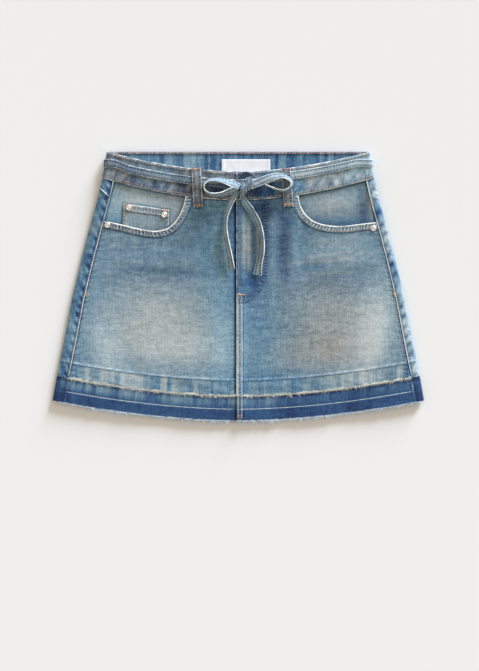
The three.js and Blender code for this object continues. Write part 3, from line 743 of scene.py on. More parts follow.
RAW_INDIGO = linear(26, 48, 92)
DARK_INDIGO = linear(50, 88, 130)
MID_BLUE = linear(94, 132, 156)
LIGHT_BLUE = linear(136, 166, 181)
PALE_BLUE = linear(176, 194, 199)
BLEACHED = linear(196, 208, 208)
CREAM = linear(238, 241, 230)
WARM_GREY = linear(203, 207, 203)
COOL_GREY = linear(200, 206, 208)
print("raw indigo", np.round(RAW_INDIGO, 3), "and cream", np.round(CREAM, 3))

# %% Nodes


def new_group(name, inputs, outputs):
    """An empty node group with named sockets, and its input and output nodes."""
    group = bpy.data.node_groups.new(name, "ShaderNodeTree")
    for label, kind, value in inputs:
        made = group.interface.new_socket(name=label, in_out="INPUT", socket_type="NodeSocket" + kind)
        if value is not None:
            made.default_value = value
    for label, kind in outputs:
        group.interface.new_socket(name=label, in_out="OUTPUT", socket_type="NodeSocket" + kind)
    return group, group.nodes.new("NodeGroupInput"), group.nodes.new("NodeGroupOutput")


class Wires:
    """Short ways to add nodes to one tree and join them."""

    def __init__(self, tree):
        self.tree = tree

    def put(self, socket, value):
        if hasattr(value, "is_output"):
            self.tree.links.new(value, socket)
        else:
            socket.default_value = value

    def math(self, operation, a, b=0.0):
        node = self.tree.nodes.new("ShaderNodeMath")
        node.operation = operation
        self.put(node.inputs[0], a)
        self.put(node.inputs[1], b)
        return node.outputs[0]

    def add(self, a, b):
        return self.math("ADD", a, b)

    def times(self, a, b):
        return self.math("MULTIPLY", a, b)

    def noise(self, vector, scale, detail, rough):
        """Noise from 0 to 1, with its own number of waves a metre along each axis."""
        stretched = self.tree.nodes.new("ShaderNodeVectorMath")
        stretched.operation = "MULTIPLY"
        self.put(stretched.inputs[0], vector)
        stretched.inputs[1].default_value = scale
        node = self.tree.nodes.new("ShaderNodeTexNoise")
        self.put(node.inputs["Vector"], stretched.outputs[0])
        for key, value in (("Scale", 1.0), ("Detail", detail), ("Roughness", rough)):
            node.inputs[key].default_value = value
        return node.outputs["Fac"]

    def ripple(self, vector, scale, detail, rough):
        """The same noise about zero."""
        return self.math("SUBTRACT", self.noise(vector, scale, detail, rough), 0.5)

    def range(self, value, low, high, to_low=0.0, to_high=1.0):
        node = self.tree.nodes.new("ShaderNodeMapRange")
        node.interpolation_type = "SMOOTHSTEP"
        keys = ("Value", "From Min", "From Max", "To Min", "To Max")
        for key, given in zip(keys, (value, low, high, to_low, to_high)):
            self.put(node.inputs[key], given)
        return node.outputs["Result"]

    def blend(self, share, a, b, mode="MIX"):
        node = self.tree.nodes.new("ShaderNodeMix")
        node.data_type = "RGBA"
        node.blend_type = mode
        for socket, value in ((0, share), (6, a), (7, b)):
            self.put(node.inputs[socket], value)
        return node.outputs[2]

    def ramp(self, value, stops):
        node = self.tree.nodes.new("ShaderNodeValToRGB")
        self.put(node.inputs[0], value)
        ramp = node.color_ramp
        while len(ramp.elements) < len(stops):
            ramp.elements.new(0.5)
        for element, (place, colour) in zip(ramp.elements, stops):
            element.position = place
            element.color = colour
        return node.outputs["Color"]

    def attribute(self, name, output="Fac"):
        node = self.tree.nodes.new("ShaderNodeAttribute")
        node.attribute_name = name
        return node.outputs[output]

    def group(self, group, **values):
        node = self.tree.nodes.new("ShaderNodeGroup")
        node.node_tree = group
        for key, value in values.items():
            self.put(node.inputs[key.replace("_", " ")], value)
        return node.outputs


print("ways to wire:", [name for name in vars(Wires) if not name.startswith("_")])

# %% Denim weave
TWILL_PITCH = 0.0009
TWILL_LEAN = 0.6


def build_weave():
    group, given, out = new_group(
        "Denim weave",
        [("Weave", "Vector", None), ("Slub", "Float", 0.16), ("Mottle", "Float", 0.07)],
        [("Shift", "Float"), ("Height", "Float"), ("Streak", "Float")],
    )
    w = Wires(group)
    place = given.outputs["Weave"]
    warp = w.ripple(place, (620, 42, 1), 3, 0.6)
    weft = w.ripple(place, (60, 520, 1), 2, 0.5)
    cloud = w.ripple(place, (110, 160, 1), 5, 0.66)
    smear = w.ripple(place, (22, 110, 1), 3, 0.6)
    grain = w.ripple(place, (430, 380, 1), 3, 0.6)
    split = group.nodes.new("ShaderNodeSeparateXYZ")
    w.put(split.inputs[0], place)
    slanted = w.add(split.outputs[0], w.times(split.outputs[1], TWILL_LEAN))
    twill = w.math("SINE", w.times(slanted, 2 * math.pi / TWILL_PITCH))
    slub = w.add(w.add(w.times(warp, 1.5), w.times(weft, 0.9)), w.times(grain, 1.6))
    slub = w.times(slub, given.outputs["Slub"])
    shift = w.add(slub, w.times(w.add(cloud, w.times(smear, 0.5)), given.outputs["Mottle"]))
    w.put(out.inputs["Shift"], w.add(shift, w.times(twill, 0.012)))
    w.put(out.inputs["Height"], w.add(w.times(twill, 0.3), w.times(slub, 6.0)))
    w.put(out.inputs["Streak"], w.noise(place, (480, 110, 1), 3, 0.65))
    return group


WEAVE = build_weave()
print(WEAVE.name, len(WEAVE.nodes), "nodes")

# %% Denim dye
DYE_STEPS = [
    (0.0, RAW_INDIGO),
    (0.2, DARK_INDIGO),
    (0.45, MID_BLUE),
    (0.66, LIGHT_BLUE),
    (0.86, PALE_BLUE),
    (1.0, BLEACHED),
]


def build_dye():
    group, given, out = new_group(
        "Denim dye",
        [
            ("Tone", "Float", 0.5),
            ("Grey", "Float", 0.0),
            ("Worn", "Float", 0.0),
            ("Shift", "Float", 0.0),
            ("Streak", "Float", 0.5),
            ("Warmth", "Color", WARM_GREY),
        ],
        [("Color", "Color")],
    )
    w = Wires(group)
    dyed = w.ramp(w.add(given.outputs["Tone"], given.outputs["Shift"]), DYE_STEPS)
    light = group.nodes.new("ShaderNodeRGBToBW")
    w.put(light.inputs[0], dyed)
    plain = w.blend(1.0, given.outputs["Warmth"], w.times(light.outputs[0], 1.62), "MULTIPLY")
    cloth = w.blend(given.outputs["Grey"], dyed, plain)
    streak = w.math("SUBTRACT", given.outputs["Streak"], 0.5)
    bare = w.range(w.add(given.outputs["Worn"], w.times(streak, 1.1)), 0.3, 0.85)
    w.put(out.inputs["Color"], w.blend(bare, cloth, CREAM))
    return group


DYE = build_dye()
print(DYE.name, len(DYE.nodes), "nodes")

# %% Denims


def new_material(name, roughness, metallic=0.0):
    """A Principled material and the wires for its tree."""
    material = bpy.data.materials.new(name)
    material.use_nodes = True
    shader = material.node_tree.nodes["Principled BSDF"]
    shader.inputs["Roughness"].default_value = roughness
    shader.inputs["Metallic"].default_value = metallic
    return material, Wires(material.node_tree), shader


def bump(wires, shader, height, strength, distance):
    node = wires.tree.nodes.new("ShaderNodeBump")
    node.inputs["Strength"].default_value = strength
    node.inputs["Distance"].default_value = distance
    wires.put(node.inputs["Height"], height)
    wires.put(shader.inputs["Normal"], node.outputs["Normal"])


def denim(name, slub, mottle, warmth=WARM_GREY):
    """Denim that reads its tone, greyness and wear from the mesh."""
    material, w, shader = new_material(name, 0.92)
    for key, value in (("Specular IOR Level", 0.2), ("Sheen Weight", 0.12), ("Sheen Roughness", 0.6)):
        shader.inputs[key].default_value = value
    weave = w.group(WEAVE, Weave=w.attribute("weave", "Vector"), Slub=slub, Mottle=mottle)
    dyed = w.group(
        DYE,
        Tone=w.attribute("tone"),
        Grey=w.attribute("grey"),
        Worn=w.attribute("worn"),
        Shift=weave["Shift"],
        Streak=weave["Streak"],
        Warmth=warmth,
    )
    w.put(shader.inputs["Base Color"], dyed["Color"])
    w.put(shader.inputs["Roughness"], w.range(weave["Streak"], 0.3, 0.7, 0.84, 0.97))
    bump(w, shader, weave["Height"], 0.4, 0.00025)
    return material


WASHED = denim("denim_washed", 0.26, 0.52)
BACK_DENIM = denim("denim_back", 0.26, 0.52)
FACING_DENIM = denim("denim_facing", 0.22, 0.42, COOL_GREY)
BAND_DENIM = denim("denim_band", 0.24, 0.5, COOL_GREY)
HEM_DENIM = denim("denim_hem", 0.18, 0.3)
STRAP_DENIM = denim("denim_strap", 0.28, 0.4, COOL_GREY)
print("denims", [m.name for m in (WASHED, BACK_DENIM, FACING_DENIM, BAND_DENIM, HEM_DENIM, STRAP_DENIM)])

# %% [markdown]
# ## The front panels
#
# Each front is cut from the waist seam to the hem crease, with a scoop taken out for the pocket. Its grid
# runs from the centre to the side seam. The top of each column lies on the waist seam and then on the scoop,
# so rows follow the pocket's edge and no boolean cut is needed.

# %% Front panels
CENTRE_X = {"left": LAP_UNDER, "right": LAP_EDGE}
SETTLING = 6
PIECES = {}


def laid(width, length, *rests_on, **more):
    said = {"flat": (width, length), "held": "laid", **more}
    return {**said, "rests_on": list(rests_on)} if rests_on else said


def keep(made, slot, *nodes, sheet=None):
    """Sets a finished piece on the body, with what it stands for. slot, the cloth that it is cut from, is not
    used.
    """
    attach(made, "root")
    if nodes:
        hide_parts(*nodes)
    PIECES[made.name] = made
    print(made.name, len(made.data.polygons), "faces")
    return made


def top_line(side):
    """The panel's upper edge: the waist seam from the centre, then the pocket's scoop."""
    scoop = LINES[f"pocket_{side}"]
    seam = crosswise(curve("waist_seam", -SEAM_GAP / 2), CENTRE_X[side], scoop[0, 0], 2)
    return np.vstack([seam, scoop[1:]])


def front_places(side):
    """x and y of a front panel's grid, in rows from the crease to the top edge."""
    top = top_line(side)
    run = distances(top)
    f = spread(250, 1.9, 0.8, 11)
    top_x = np.interp(f * run[-1], run, top[:, 0])
    top_y = np.interp(f * run[-1], run, top[:, 1])
    centre = CENTRE_X[side]
    low_y = np.full(len(f), -140.0)
    for _ in range(SETTLING):
        low_x = centre + f * (seam_x(side, low_y, SEAM_GAP / 2) - centre)
        low_y = curve_y("crease", low_x, SEAM_GAP / 2)
    share_top = (top_x - centre) / (seam_x(side, top_y, SEAM_GAP / 2) - centre)
    t = spread(270, 1.9, 0.85, 11, dense=[(16, 29)])[:, None]
    y = mix(low_y, top_y, t)
    x = centre + mix(f, np.clip(share_top, 0, 1), t) * (seam_x(side, y, SEAM_GAP / 2) - centre)
    return x, y


def flat_shell(name, x, y, z, thickness, material, look, inner=None):
    """A shell that lies flat, its inner side straight below its outer one."""
    outer = np.stack([x, y, z], -1)
    inner_side = outer - thickness * UP
    weave = np.stack([x, y, 0 * x], -1)
    return shell(name, roll_rim(outer), inner_side, material, look, inner or inside_look(x), weave)


for side in ("left", "right"):
    x, y = front_places(side)
    z = front_height(side, x, y)
    if side == "left":
        z = z - 0.25 * smooth(LAP_EDGE - 3, LAP_EDGE, x)
    panel = flat_shell(f"front_of_skirt_{side}", x, y, z, DENIM, WASHED, front_look(side, x, y))
    keep(panel, "denim_washed", f"front_{side}_panel", sheet=laid(0.25, 0.29, "back_panel", area=0.0615))

# %% [markdown]
# ## The let-down hem
#
# The old hem was unpicked and turned down. The fold line stays as a white worn crease, the cloth that the
# hem hid is still dark, and its cut edge is raw. It is its own strip here, a little lower than the panel.

# %% Front hem


def strip_places(side, low, high, along, centre):
    """x and y of a strip of the front between two curves."""
    f = spread(250, 1.9, 0.9, 8)
    t = along[:, None]
    y = np.zeros((len(along), len(f)))
    for _ in range(SETTLING):
        x = centre + f * (seam_x(side, y, SEAM_GAP / 2) - centre)
        y = mix(low(x), high(x), t)
    return x, y


RAW_EDGE_JITTER = 1.0
for side in ("left", "right"):
    x, y = strip_places(
        side,
        lambda x: curve_y("hem", x) + RAW_EDGE_JITTER * wander(x, 2.6, 31),
        curve("crease", -SEAM_GAP / 2),
        spread(36, 1.2, 0.7, 4),
        CENTRE_X[side],
    )
    strip = flat_shell(f"let_down_hem_{side}", x, y, hem_height(side, x, y), DENIM, HEM_DENIM, hem_look(x, y))
    keep(strip, "denim_hem", f"hem_front_{side}", sheet=laid(0.26, 0.037, "hem_back"))

# %% [markdown]
# ## Pocket facings and the coin pocket
#
# A facing is the piece of denim that shows inside a pocket's opening. On the photo's left it carries a small
# coin pocket, a patch with a turned hem, two rows of stitches and two rivets.

# %% Facings
FACING_DROP = {"left": DENIM + SEAM_GAP + FACING + SEAM_GAP, "right": DENIM + SEAM_GAP}
FACING_INNER = {"left": -62, "right": 73}
FACING_LOW_Y = 64
FACING_TONE = {"left": 0.61, "right": 0.52}
COIN = {"low_left": (-168, 76), "top_left": (-165, 119.5), "top_right": (-99.5, 110), "low_right": (-101, 76)}
COIN_OUTLINE = np.array(list(COIN.values()), float)
FACING_FADES = {
    "left": table(
        FADE_COLUMNS,
        (-140, 124, 40, 16, -8, 0.2, 0.02),
        (-95, 112, 18, 24, 10, 0.03, 0.3),
        (-176, 118, 14, 30, 6, 0.02, -0.42),
        (-160, 100, 16, 10, 0, -0.02, -0.2),
        (-114, 90, 18, 11, 0, 0.18, 0.1),
    ),
    "right": table(
        FADE_COLUMNS,
        (150, 126, 36, 10, 8, 0.18, 0.0),
        (140, 112, 34, 12, 6, 0.06, 0.3),
        (120, 120, 24, 12, 20, 0.06, 0.2),
        # The next two rows are painted shade and a painted highlight beside a fold of the facing by the side
        # seam.
        (180, 114, 9, 26, 6, -0.28, 0.15),
        (190.5, 114, 2.4, 28, 7, 0.3, 0.1),
        # Painted shade along the pocket's edge.
        (150, 94, 50, 8, 0, -0.1, -0.2),
    ),
}
for side in ("left", "right"):
    t = spread(80, 2.0, 1.0, 6)[:, None]
    f = spread(130, 2.0, 1.0, 6)
    y = np.zeros((len(t), len(f)))
    for _ in range(SETTLING):
        x = mix(seam_x(side, y, SEAM_GAP / 2), FACING_INNER[side], f)
        y = mix(FACING_LOW_Y + 0 * x, curve_y("waist_seam", x, -SEAM_GAP / 2), t)
    tone, grey = faded(x, y, FACING_FADES[side])
    gap, _ = near_line(x, y, LINES[f"pocket_{side}"])
    seam_gap = curve_y("waist_seam", x) - y
    # Painted shade: darker along the pocket's edge and just below the waist seam.
    tone += FACING_TONE[side] - 0.16 * bell(gap, 6) - 0.24 * bell(seam_gap - 1, 2)
    tone -= 0.26 * bell(np.abs(x - seam_x(side, y)) - 0.8, 1.3)
    # Painted shadow in a line round the coin pocket.
    if side == "left":
        tone -= 0.32 * bell(near_line(x, y, COIN_OUTLINE)[0] - 1, 1.4)
    look = [tone, np.clip(0.3 + grey, 0, 1), 0 * tone]
    z = front_top(x, y) - FACING_DROP[side] + 0.18 * wander(x + 0.3 * y, 17, 40)
    piece = flat_shell(f"facing_{side}", x, y, z, FACING, FACING_DENIM, look)
    keep(piece, "denim_facing", f"pocket_facing_{side}", sheet=laid(0.135, 0.086, "back_panel"))

# %% Coin pocket


def coin_place(f, t):
    """A point of the coin pocket, f across from the left and t down from its top edge."""
    top = [mix(a, b, f) for a, b in zip(COIN["top_left"], COIN["top_right"])]
    low = [mix(a, b, f) for a, b in zip(COIN["low_left"], COIN["low_right"])]
    return mix(top[0], low[0], t), mix(top[1], low[1], t)


def coin_height(x, y):
    return front_top(x, y) - DENIM - SEAM_GAP + 0.12 * wander(x, 9, 44)


def coin_line(start, end):
    """A straight line on the coin pocket, between two places on it."""
    f = np.linspace(start[0], end[0], 12)
    t = np.linspace(start[1], end[1], 12)
    return np.stack(coin_place(f, t), 1)


COIN_SEAMS = table(
    SEAM_COLUMNS,
    (coin_line((0, 0), (1, 0)), 10, 0.2, 0.06, 4.4, 0, 5, 3.2, 0.24, 0.34, 0.5, -0.28, 0.85, 1.2),
    (coin_line((0, 0), (0, 1)), 0.8, 0.1, 0, 5, 0, 2.5, 2.2, 0.14, 0.16, 0, 0, 0.6, 0.9),
    (coin_line((1, 0), (1, 1)), 0.8, 0.1, 0, 5, 0, 2.5, 2.2, 0.14, 0.16, 0, 0, 0.6, 0.9),
)
x, y = coin_place(*np.meshgrid(spread(66, 1.4, 0.7, 4), spread(40, 1.4, 0.7, 4, dense=[(5, 11)])[::-1]))
lift, tone, worn = seam_effects(x, y, COIN_SEAMS, 45)
# Painted shadow along the coin pocket's lower edge.
tone += 0.6 + 0.14 * (patches(x, 6, 46) - 0.5) - 0.2 * bell(y - 78, 8)
look = [tone, 0.42 + 0 * x, worn]
coin = flat_shell("coin_pocket_patch", x, y, coin_height(x, y) + lift, FACING, FACING_DENIM, look)
keep(coin, "denim_facing", "coin_pocket", sheet=laid(0.067, 0.041, "pocket_facing_left"))

# %% [markdown]
# ## The waistband
#
# A waistband is two layers of denim with their edges turned in, so it is twice as thick as a panel and its
# long edges are round. The front lies open in a shallow curve, and the back of the band shows behind it.

# %% Front waistband
BAND_SEAMS = table(
    SEAM_COLUMNS,
    ("band_top", 4.4, 0.1, 0.06, 5.5, 0.6, 3.4, 3, 0.16, 0.12, 0.15, -0.1, 0.72, 1.4),
    ("waist", 4.4, 0.1, 0.04, 5.5, -0.6, 3.6, 3, 0.18, 0.14, 0.15, -0.1, 0.7, 1.2),
    ("band_end", 1.4, 0.1, 0.04, 5, 0, 2, 2, 0.1, 0.1, 0, -0.2, 0.7, 1.0),
)
BAND_FADES = table(
    FADE_COLUMNS,
    (-120, 160, 60, 14, -12, 0.04, 0.1),
    (-60, 138, 40, 8, -8, -0.04, 0.1),
    (0, 138, 40, 14, 0, -0.1, 0.0),
    (40, 132, 30, 8, 8, -0.12, 0.2),
    (12, 153, 15, 11, 0, -0.22, -0.1),
    # The next two dark ovals are painted shade under the bow's loops.
    (42, 140, 24, 13, 6, -0.28, -0.5),
    (-36, 142, 16, 10, 0, -0.2, -0.4),
    (-80, 144, 10, 11, -4, -0.26, -0.2),
    (88, 143, 10, 10, 8, -0.2, -0.5),
    (22.6, 161, 1.4, 6, 20, 0.4, 0.3),
    (110, 150, 40, 14, 14, 0.1, 0.1),
    (165, 166, 30, 16, 14, 0.06, 0.0),
)


def band_height(x, y):
    z = band_top(x, y) + seam_effects(x, y, BAND_SEAMS, 71)[0]
    middle = (y - curve_y("waist_seam", x)) / BAND_DEPTH
    z += 0.3 * wander(x + 0.4 * y, 13, 72) * bell(middle - 0.45, 0.35)
    return z + 0.2 * wander(x - 0.8 * y, 5, 76) * bell(middle - 0.3, 0.2)


def band_look(x, y):
    _, tone, worn = seam_effects(x, y, BAND_SEAMS, 71)
    fade, grey = faded(x, y, BAND_FADES)
    # Painted contact shadow beside the belt loops.
    base = 0.38 + 0.19 * smooth(-20, 50, x) - 0.22 * painted_loop_shadow(x, y)
    middle = (y - curve_y("waist_seam", x)) / BAND_DEPTH
    tone = tone + fade + base + 0.12 * wander(x + 0.5 * y, 9, 73) + 0.09 * wander(x - 0.3 * y, 4, 74)
    tone += 0.12 * wander(x - 0.8 * y, 5, 76) * bell(middle - 0.3, 0.24)
    grey = 0.62 - 0.36 * smooth(-20, 50, x) + grey + 0.3 * wander(x - 0.3 * y, 19, 75)
    return [tone, np.clip(grey, 0, 1), worn]


for side, centre in (("left", LAP_EDGE - SEAM_GAP), ("right", LAP_EDGE)):
    x, y = strip_places(
        side,
        curve("waist_seam", SEAM_GAP / 2),
        curve("waist_top"),
        spread(38, 1.4, 0.7, 5),
        centre,
    )
    band = flat_shell(f"front_waistband_{side}", x, y, band_height(x, y), BAND, BAND_DENIM, band_look(x, y))
    keep(band, "denim_band", f"waistband_front_{side}", sheet=laid(0.19, 0.038, "waistband_back"))

# %% [markdown]
# ## The back, which wraps round to the front
#
# On this skirt the side seams lie well inside the front, so the back cloth shows as a strip at each side. One
# grid makes each back piece: front strip, side fold, flat back, side fold, front strip. The cloth turns round
# the fold as half an ellipse.

# %% Tables of the back
STRIP_SEAMS = table(
    SEAM_COLUMNS,
    ("side_left", 2.2, 0.3, 0.1, 14, 0.6, 5.5, 3.6, 0.3, 0.36, 0, -0.3, 0.9, 0.9),
    ("side_right", 2.2, 0.3, 0.1, 15, 0.6, 5.5, 3.6, 0.3, 0.36, 0, -0.3, 0.9, 0.9),
    ("tuck", 1.2, 0.3, 0, 5, 0, 3, 3, 0.2, 0.1, 0, -0.35, 0.8, 1.1),
    RIDGE,
    CREASE,
)
BACK_FADES = table(
    FADE_COLUMNS,
    (-110, -10, 70, 70, 8, 0.16, 0.4),
    (115, -5, 68, 74, -8, 0.14, 0.45),
    (0, -90, 150, 24, 0, 0.08, 0.2),
    (-40, 95, 60, 30, 10, -0.06, 0.0),
    (60, 100, 60, 26, -8, -0.05, 0.0),
)
STRIP_FADES = table(
    FADE_COLUMNS,
    (-197, 118, 14, 9, 20, -0.1, 0),
    (-203, 84, 14, 14, 20, 0.12, 0.2),
    (-212, 36, 16, 16, 15, -0.06, 0),
    (-220, -30, 16, 18, 15, -0.1, 0),
    (-230, -88, 12, 22, 15, 0.3, 0.1),
    (-238, -112, 14, 8, 15, 0.1, 0.4),
    (198, 140, 14, 14, -15, 0.12, 0.2),
    (204, 110, 12, 9, -15, -0.34, -0.2),
    (212, 68, 14, 28, -15, 0.1, 0.3),
    (220, 16, 14, 22, -15, -0.24, -0.1),
    (228, -34, 14, 16, -15, 0.06, 0.2),
    (236, -80, 13, 32, -15, 0.32, 0.2),
    (250, -70, 8, 50, -15, -0.12, 0),
    (203, 134, 12, 1.3, -14, 0.5, 0.2),
    (205, 127, 12, 1.3, -14, 0.4, 0.2),
)
BACK_CREASES = table(
    CREASE_COLUMNS,
    (-180, 40, -60, 10, 12, 0.5),
    (170, 52, 70, 22, 11, 0.4),
    (-30, 120, -60, 60, 9, 0.4),
    (45, 118, 70, 66, 10, 0.45),
    (-150, -60, -140, -120, 12, 0.35),
    (120, -50, 128, -112, 13, 0.4),
)
print(len(STRIP_FADES), "fades on the side strips")

# %% A grid that wraps round the folds


def wrap_columns(strip_count, fold_count, flat_count):
    """Kind, side and share of each column, from the left seam under the back to the right seam."""
    strip = [("strip", f) for f in np.linspace(0, 1, strip_count, endpoint=False)]
    fold = [("fold", f) for f in np.linspace(0, 1, fold_count)]
    flat = [("flat", f) for f in np.linspace(0, 1, flat_count + 2)[1:-1]]
    left = [(kind, -1, f) for kind, f in strip + fold]
    right = [(kind, 1, f) for kind, f in strip + fold]
    return left + [(kind, 0, f) for kind, f in flat] + right[::-1]


def wrap_grid(columns, along, front, back, top, bottom, reach):
    """A function that gives the grid's points at a depth into the cloth, and which columns are in front."""
    kind = np.array([c[0] for c in columns])
    sign = np.array([float(c[1]) for c in columns])
    f = np.array([c[2] for c in columns])
    on_front = (kind == "strip") | ((kind == "fold") & (f < 0.5))

    def place(y, deep):
        half = half_width(y) - reach
        seam = np.where(sign < 0, seam_x("left", y, -SEAM_GAP / 2), seam_x("right", y, -SEAM_GAP / 2))
        turn = math.pi * (0.5 - f)
        high = top(sign * half, y)
        low = bottom(sign * half, y)
        strip_x = mix(seam, sign * half, f)
        fold_x = sign * (half + (reach - deep) * np.cos(turn))
        fold_z = (high + low) / 2 + ((high - low) / 2 - deep) * np.sin(turn)
        flat_x = mix(-half, half, f)
        x = np.where(kind == "strip", strip_x, np.where(kind == "fold", fold_x, flat_x))
        flat_z = bottom(flat_x, y) + deep
        z = np.where(kind == "strip", top(strip_x, y) - deep, np.where(kind == "fold", fold_z, flat_z))
        return x, z

    y = np.zeros((len(along), len(columns)))
    for _ in range(SETTLING):
        x, _ = place(y, 0)
        low_y = np.where(on_front, front[0](x), back[0](x))
        high_y = np.where(on_front, front[1](x), back[1](x))
        y = mix(low_y, high_y, along[:, None])

    def at_depth(deep):
        x, z = place(y, deep)
        return np.stack([x, y, z], -1)

    return at_depth, on_front


def wrapped_piece(name, node, slot, material, thickness, grid, look, inner, sheet):
    """Makes one back piece. look and inner give the look of its two sides at x and y."""
    at_depth, on_front = grid
    outer = at_depth(0)
    x, y = outer[..., 0], outer[..., 1]
    around = distances(outer[len(outer) // 2])
    weave = np.stack([np.broadcast_to(around - around[-1] / 2, x.shape), y, 0 * x], -1)
    piece = shell(name, outer, at_depth(thickness), material, look(x, y, on_front), inner(x, y), weave)
    keep(piece, slot, node, sheet=sheet)


print(len(wrap_columns(strip_count=12, fold_count=15, flat_count=150)), "columns round the back")

# %% Back pieces


def strip_top(x, y):
    return front_top(x, y) + seam_effects(x, y, STRIP_SEAMS, 51)[0]


def back_under(x, y):
    """Underside of the back. Its creases stand up from the table, as the cloth can't go below it."""
    fold = crease_height(x, y, BACK_CREASES) * (1 - smooth(200, 225, np.abs(x)))
    return back_bottom(y) + fold * (1 - smooth(40, 80, y))


def back_look(x, y, front):
    tone, grey = faded(x, y, BACK_FADES)
    _, seam_tone, worn = seam_effects(x, y, STRIP_SEAMS, 51)
    fold_gap = half_width(y) - np.abs(x)
    patch_tone, patch_grey = faded(x, y, STRIP_FADES)
    strip_tone = 0.37 + seam_tone + patch_tone + 0.12 * wander(y + 2 * x, 7, 54)
    strip_tone += 0.12 * (patches(y, 9, 52) - 0.5) + 0.1 * bell(fold_gap, 4) + 0.17 * smooth(0, 120, x)
    strip_tone, strip_grey = hem_band(x, y, strip_tone, 0.02 + patch_grey + 0.14 * smooth(0, 120, x))
    worn = worn * (1 - 0.75 * bell(y - curve_y("crease", x), 4))
    worn = worn * (1 - 0.5 * smooth(-2, 2, curve_y("crease", x, CREASE_TO_RIDGE) - y))
    front = front * np.ones_like(x)
    look_tone = np.where(front > 0, strip_tone, tone + 0.4)
    return [look_tone, np.where(front > 0, np.clip(strip_grey, 0, 1), 0.15 + grey), worn * (front > 0)]


grid = wrap_grid(
    wrap_columns(strip_count=12, fold_count=15, flat_count=150),
    spread(300, 2.2, 1.0, 6, dense=[(16, 30), (264, 290)]),
    (curve("crease", SEAM_GAP / 2), curve("waist_seam", -SEAM_GAP / 2)),
    (curve("crease", SEAM_GAP / 2), curve("back_waist_seam", -SEAM_GAP / 2)),
    strip_top,
    back_under,
    FOLD_REACH,
)
wrapped_piece(
    "back_of_skirt", "back_panel", "denim_back", BACK_DENIM, DENIM, grid,
    back_look, lambda x, y: inside_look(x), laid(0.56, 0.31, area=0.155),
)
grid = wrap_grid(
    wrap_columns(strip_count=11, fold_count=15, flat_count=150),
    spread(36, 1.4, 0.8, 4),
    (curve("hem"), curve("crease", -SEAM_GAP / 2)),
    (curve("hem", BACK_HEM_LIFT), curve("crease", -SEAM_GAP / 2)),
    lambda x, y: hem_height("left", x, y),
    lambda x, y: 0 * x,
    FOLD_REACH,
)
wrapped_piece(
    "back_hem", "hem_back", "denim_hem", HEM_DENIM, DENIM, grid,
    lambda x, y, front: hem_look(x, y), lambda x, y: inside_look(x, 0.5, 0.2), laid(0.58, 0.037),
)

# %% [markdown]
# The back of the waistband shows its inner side above the front, and the label is sewn there. That side was
# never in the sun, so it stays bluer, with short dark and light streaks from the wash.

# %% Back waistband


def band_inside(x, y):
    edge = TOP_Y - y
    tone = 0.41 - 0.04 * smooth(-60, 60, x) + 0.4 * (patches(x, 5, 81) - 0.5)
    tone += 0.1 * rope(x, 4.2, 82) * (1 - smooth(3, 12, edge))
    tone += 0.1 * bell(edge - 1, 1.6) - 0.1 * bell(edge - 5, 2.2) + 0.05 * wander(x, 18, 83)
    return [tone, 0.12 * patches(x, 22, 84), 0.45 * bell(edge, 1.0)]


grid = wrap_grid(
    wrap_columns(strip_count=10, fold_count=15, flat_count=190),
    spread(38, 1.5, 0.8, 4),
    (curve("waist_seam", SEAM_GAP / 2), curve("waist_top")),
    (curve("back_waist_seam", SEAM_GAP / 2), curve("back_waist_top")),
    band_height,
    lambda x, y: BACK_RISE + 0 * x,
    BAND_FOLD_REACH,
)
wrapped_piece(
    "back_waistband", "waistband_back", "denim_band", BAND_DENIM, BAND, grid,
    lambda x, y, front: band_look(x, y), band_inside, laid(0.41, 0.038, "tie_belt_back"),
)

# %% [markdown]
# ## Straps
#
# The belt, its loops and the bow are one kind of strap: denim folded to a narrow strip and stitched along
# both edges. A strap needs a route and a direction across it at each place. The cross section is a row of
# points with a groove under each row of stitches, round edges and small puckers.

# %% Straps
HALF_ACROSS = [0.18, 0.36, 0.5, 0.62, 0.74, 0.86, 0.95, 1]
ACROSS = np.array([-u for u in HALF_ACROSS[::-1]] + [0] + HALF_ACROSS)
STITCH_AT = 0.6
STRAPS = {}


def frames(centres, across=None, tilt=None):
    """A route with the directions across the strap and out of its face at each place."""
    ahead = np.gradient(centres, axis=0)
    ahead /= np.linalg.norm(ahead, axis=1)[:, None]
    if across is None:
        level = np.stack([-ahead[:, 1], ahead[:, 0], 0 * ahead[:, 0]], 1)
        level /= np.linalg.norm(level, axis=1)[:, None]
        upright = np.cross(ahead, level)
        turn = np.radians(tilt)[:, None]
        across = level * np.cos(turn) + upright * np.sin(turn)
    across = np.broadcast_to(across, centres.shape)
    return centres, across, np.cross(ahead, across)


